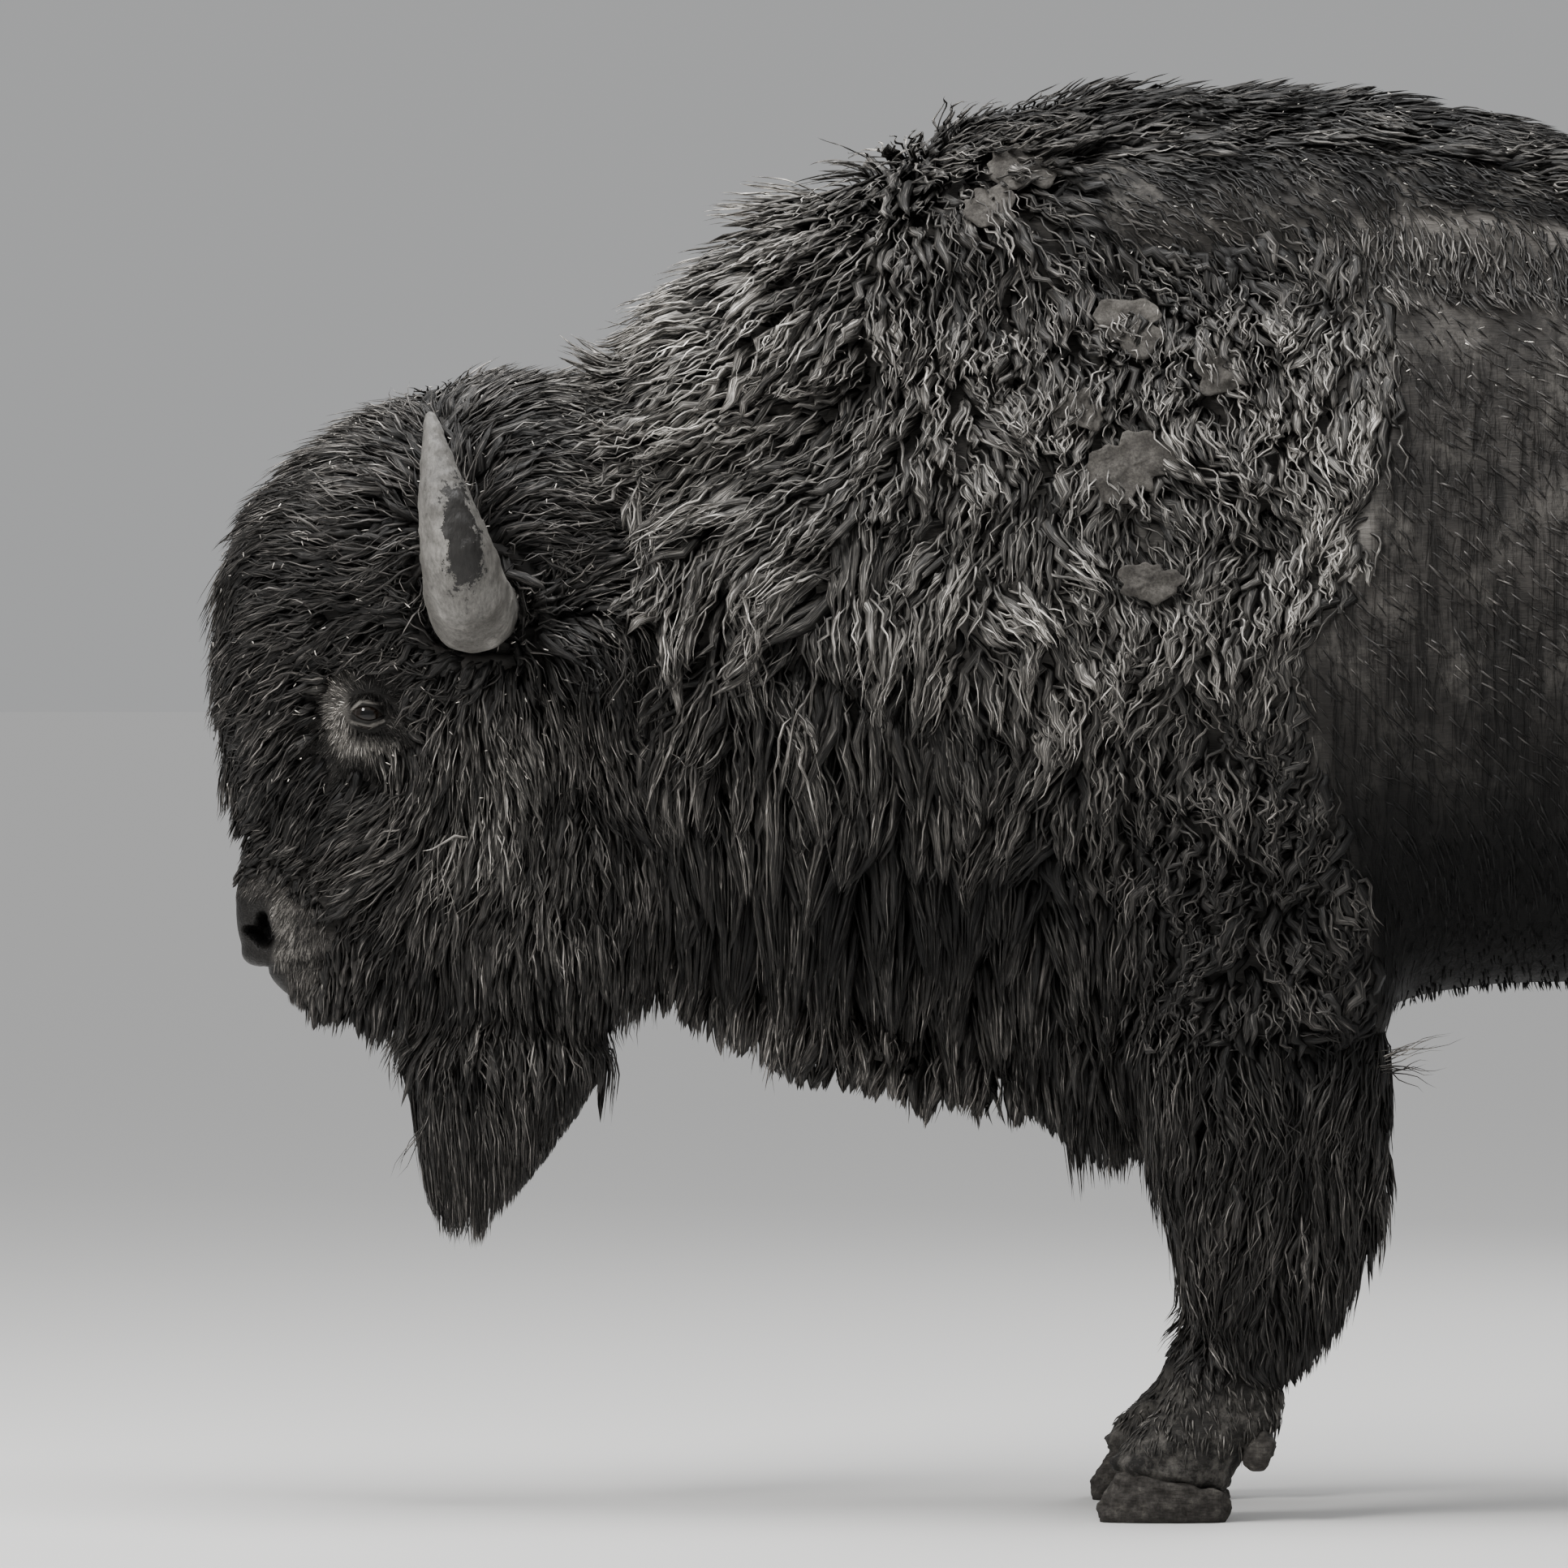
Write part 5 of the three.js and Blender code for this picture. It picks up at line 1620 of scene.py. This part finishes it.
def make_camera():
    """Side view of the left side, from far off, a little above the animal's middle."""
    width = 1.9625  # of the view at the animal's middle plane
    aim = np.array([-0.7375, 0.0, 0.908])
    focal, sensor = 300.0, 36.0
    distance = width * focal / sensor
    rise = math.radians(1.0)
    data = bpy.data.cameras.new("camera")
    data.lens = focal
    data.sensor_width = sensor
    data.clip_end = 100
    camera = placed("camera", data)
    camera.location = aim + distance * np.array([0, -math.cos(rise), math.sin(rise)])
    camera.rotation_euler = (math.pi / 2 - rise, 0, 0)
    bpy.context.scene.camera = camera


# ---------------------------------------------------------------- putting it together

make_camera()
make_lights()
make_stage()

skin_obj, regions, closed_parts = make_skin()
dress_skin(skin_obj, regions)
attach(skin_obj, "root")
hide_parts(*FLESH)

horn_look = horn_material()
hoof_look = hoof_material()
eye_look = eye_material()
for side in SIDES:
    make_horn(side).data.materials.append(horn_look)
    make_eye(side).data.materials.append(eye_look)
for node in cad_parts:
    if "claw" in node:
        make_hoof(node).data.materials.append(hoof_look)

skin = Skin(skin_obj, closed_parts)


def wool_field(p):
    return (regions.front(p) > 0.4) & (regions.head(p) < 0.5) & (regions.foreleg(p) < 0.5)


def ridge_field(p):
    return (regions.ridge(p) > 0.4) & (regions.head(p) < 0.5)


def fringe_field(p):
    return (regions.fringe(p) > 0.4) & (regions.front(p) < 0.5)


def mop_field(p):
    return (regions.head(p) >= 0.5) & (regions.face(p) < 0.5) & (regions.beard(p) < 0.5)


def beard_field(p):
    return regions.beard(p) >= 0.5


def leg_field(p):
    return (regions.foreleg(p) >= 0.5) & (p[:, 2] > FOOT_TOP - 0.015)


def saddle_field(p):
    long = (regions.front(p) >= 0.5) | (regions.ridge(p) >= 0.5)
    return (regions.saddle(p) > 0.4) & ~long & (p[:, 0] < 0.35)


def short_field(p):
    covered = np.maximum(np.maximum(regions.cape(p), regions.head(p)), regions.tuft(p))
    return (covered < 0.5) & (regions.foreleg(p) < 0.5) & (p[:, 2] > FOOT_TOP) & ~saddle_field(p)


def foot_field(p):
    return (p[:, 2] < FOOT_TOP) & (p[:, 2] > 0.095)


def face_field(p):
    bare = (regions.bare(p) > 0.3) | (nostril_pits(p) > 0.1)
    lids = np.hypot(p[:, 0] - EYE[0], (p[:, 2] - EYE[2]) * 1.2) < 0.027
    return (regions.face(p) >= 0.4) & ~bare & ~lids


def tail_field(p):
    return regions.tuft(p) > 0.5


def wool_depth(p):
    return regions.depth(p) + (0.048 + 0.022 * side_blob(p, -0.61, 1.70, 0.15, 0.12)) * regions.crest(p)


def parted(p):
    """Where the wool of the neck hangs in separate pointed clumps."""
    return side_blob(p, -0.64, 0.92, 0.24, 0.24)


def wool_length(p):
    x, z = p[:, 0], p[:, 2]
    long = 0.070 + 0.040 * smoothstep(-0.45, -0.7, x) * smoothstep(1.35, 1.2, z) + 0.030 * parted(p)
    long += 0.020 * regions.crest(p)
    return long + 0.035 * smoothstep(0.85, 0.65, z) * smoothstep(-0.25, -0.4, x)


def wool_curl(p):
    """Curliest low on the shoulder, straightest down the throat."""
    shoulder = side_blob(p, -0.22, 0.80, 0.26, 0.26) + 0.5 * side_blob(p, -0.30, 1.45, 0.25, 0.2)
    return 0.70 + 0.75 * shoulder - 0.35 * side_blob(p, -0.75, 0.75, 0.25, 0.3)


def mop_length(p):
    """Short near the nose and the eye, longest over the forehead and below the cheek."""
    nose = np.hypot(p[:, 0] - NOSE_X, p[:, 2] - MUZZLE[2])
    eye = np.hypot(p[:, 0] - EYE[0], p[:, 2] - EYE[2])
    return 0.020 + 0.058 * smoothstep(0.09, 0.24, nose) * (0.35 + 0.65 * smoothstep(0.05, 0.12, eye))


def mop_depth(p):
    return np.minimum(0.045, 0.65 * mop_length(p))


def leg_depth(p):
    """How thick the long hair of the forelegs is: least where it ends over the fetlock."""
    return np.interp(p[:, 2], [0.18, 0.25, 0.34], [0.008, 0.022, 0.044])


def leg_floor(p):
    """How low the long hair of the forelegs hangs: to the fetlock in front, higher behind."""
    along, level = [-0.26, -0.20, -0.11, -0.06, -0.01, 0.02], [0.175, 0.150, 0.150, 0.195, 0.260, 0.320]
    return np.interp(p[:, 0], along, level)


def beard_depth(p):
    """How far the beard stands out round its core, which stops short of its ragged end."""
    return 0.016 + BEARD_END * smoothstep(JAW_Z - 0.10, JAW_Z - 0.19, p[:, 2])


def beard_floor(p):
    """How low the beard hangs at each place along it: lowest near its front."""
    low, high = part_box("beard")
    along = (p[:, 0] - low.x) / (high.x - low.x)
    share = np.interp(along, [0.0, 0.12, 0.40, 0.55, 0.72, 0.98], [0.12, 0.02, 0.02, 0.20, 0.52, 0.97])
    return low.z + (high.z - low.z) * share


# The settings of a lock: how many rings it has; how far apart roots are; its length, width and depth, as
# numbers or functions of the place; high, the span of its random height; curl, wave, droop, jitter, swirl and
# stray, which turn it; clump, gather, mass, massing, hollow and parted, which bring it together with others;
# gap, the painted shade of the locks at the edges of their clump; flat, root, full, sink and proud, its form;
# and tone, bleach, vary and shadow, its colour.
STRANDS = dict(
    segments=6, spacing=0.0145, length=0.080, width=0.0046, depth=regions.depth, high=(0.75, 1.12),
    curl=0.60, wave=0.050, droop=0.25, jitter=0.20, swirl=1.0, stray=0.12, ragged=0.72,
    clump=0.024, gather=0.60, mass=0.055, massing=0.40, hollow=0.35, gap=0.60,
    parted=lambda p: np.zeros(len(p)), flat=0.42, root=0.6, full=1.3, sink=0.003, proud=1.15,
    tone=1.40, bleach=0.8, vary=0.38, shadow=0.28,
)
# The under layers are darker in tone than the strands over them: painted shade under the top locks.
MATS = dict(
    STRANDS, segments=4, spacing=0.0200, width=0.0170, high=(0.45, 0.80), curl=0.50, wave=0.060, gather=0.40,
    stray=0.0, jitter=0.16, flat=0.20, root=0.7, full=2.6, tone=0.75, bleach=0.2,
)
HAIRS = dict(
    STRANDS, segments=2, massing=0.0, hollow=0.0, gap=0.15, vary=0.12, swirl=0.3, curl=0.1, flat=0.25,
    sink=0.0008, shadow=1.0, bleach=0.1, tone=1.35,
)
WOOL = dict(length=wool_length, depth=wool_depth, curl=wool_curl, floor=chest_floor, parted=parted)
MOP = dict(length=mop_length, depth=mop_depth, mass=0.045)
BEARD_HAIR = dict(depth=beard_depth, floor=beard_floor, mass=0.030)
LEG = dict(depth=leg_depth, floor=leg_floor, swirl=0.5, droop=0.5)
COAT = [
    # name, slot, mask, the layer it is made from, and what differs from that
    ("coat_cape_under", "coat_wool", wool_field, MATS, dict(WOOL, high=(0.5, 0.9))),
    ("coat_cape", "coat_wool", wool_field, STRANDS,
     dict(WOOL, segments=8, spacing=0.0172, width=0.0056, wave=0.042, high=(0.85, 1.20))),
    ("coat_ridge_under", "coat_wool", ridge_field, MATS,
     dict(width=0.0150, length=0.070, high=(0.6, 1.0), curl=0.30, swirl=0.4)),
    ("coat_ridge", "coat_wool", ridge_field, STRANDS,
     dict(segments=5, spacing=0.0135, width=0.0062, length=0.075, high=(0.9, 1.3), wave=0.036, gather=0.5,
          swirl=0.5, massing=0.20, hollow=0.20)),
    ("coat_saddle", "coat_wool", saddle_field, STRANDS,
     dict(segments=4, spacing=0.0115, width=0.0042, length=0.046, depth=0.007, swirl=0.5, curl=0.50,
          wave=0.028, gather=0.4, massing=0.0, vary=0.30, tone=1.5)),
    ("coat_fringe", "coat_wool", fringe_field, STRANDS,
     dict(segments=4, spacing=0.0115, width=0.0045, length=0.055, depth=0.014, swirl=0.35, curl=0.40,
          wave=0.030, gather=0.5, massing=0.15)),
    ("coat_mop_under", "coat_mop", mop_field, MATS,
     dict(MOP, spacing=0.0185, width=0.0140, swirl=0.5, curl=0.35, massing=0.25)),
    ("coat_mop", "coat_mop", mop_field, STRANDS,
     dict(MOP, segments=5, spacing=0.0112, width=0.0042, swirl=0.6, curl=0.42, wave=0.040, clump=0.018,
          gather=0.50, droop=0.10, massing=0.22, high=(0.6, 1.2), vary=0.46, bleach=1.0)),
    # The beard's under layer is darker still: painted shade under its strands.
    ("coat_beard_under", "coat_mop", beard_field, MATS,
     dict(BEARD_HAIR, spacing=0.0115, width=0.0100, length=0.150, swirl=0.15, jitter=0.06, curl=0.15,
          droop=0.8, gather=0.3, ragged=0.35, massing=0.15, tone=0.45)),
    ("coat_beard", "coat_mop", beard_field, STRANDS,
     dict(BEARD_HAIR, spacing=0.0074, width=0.0032, length=0.190, swirl=0.3, jitter=0.14, stray=0.25,
          curl=0.30, droop=0.6, clump=0.018, gather=0.35, wave=0.06, massing=0.45, high=(0.7, 1.4),
          ragged=0.65, tone=2.1, gap=0.85, vary=0.50, bleach=1.4)),
    ("coat_leg_under", "coat_wool", leg_field, MATS, dict(LEG, length=0.110, width=0.0150)),
    ("coat_leg", "coat_wool", leg_field, STRANDS,
     dict(LEG, spacing=0.0130, length=0.120, swirl=0.6, curl=0.60, width=0.0048, high=(0.8, 1.2))),
    ("coat_short", "hide_short", short_field, HAIRS,
     dict(spacing=0.0190, width=0.0042, length=0.034, depth=0.0014, droop=0.1, clump=0.035, gather=0.25,
          jitter=0.10, flat=0.16, tone=1.15)),
    ("coat_feet", "hide_short", foot_field, HAIRS,
     dict(spacing=0.0100, width=0.0045, length=0.020, depth=0.003, curl=0.3, droop=0.4, clump=0.016,
          gather=0.4, flat=0.35)),
    ("coat_face", "coat_mop", face_field, HAIRS,
     dict(spacing=0.0034, width=0.0016, length=0.014, depth=0.0020, droop=0.2, clump=0.010, gather=0.25,
          vary=0.35, tone=1.3)),
    ("coat_tail", "coat_mop", tail_field, STRANDS,
     dict(spacing=0.0070, width=0.0050, length=0.120, depth=0.012, swirl=0.15, curl=0.15, droop=0.8,
          jitter=0.08, clump=0.022, gather=0.5, massing=0.0)),
]
for seed, (name, slot, mask, layer, changes) in enumerate(COAT):
    grow(name, slot, skin, regions, mask, seed, **{**layer, **changes})

add_mud_and_strays(skin)
coat_look = coat_material()
for piece in COAT_PIECES:
    piece.data.materials.append(coat_look)
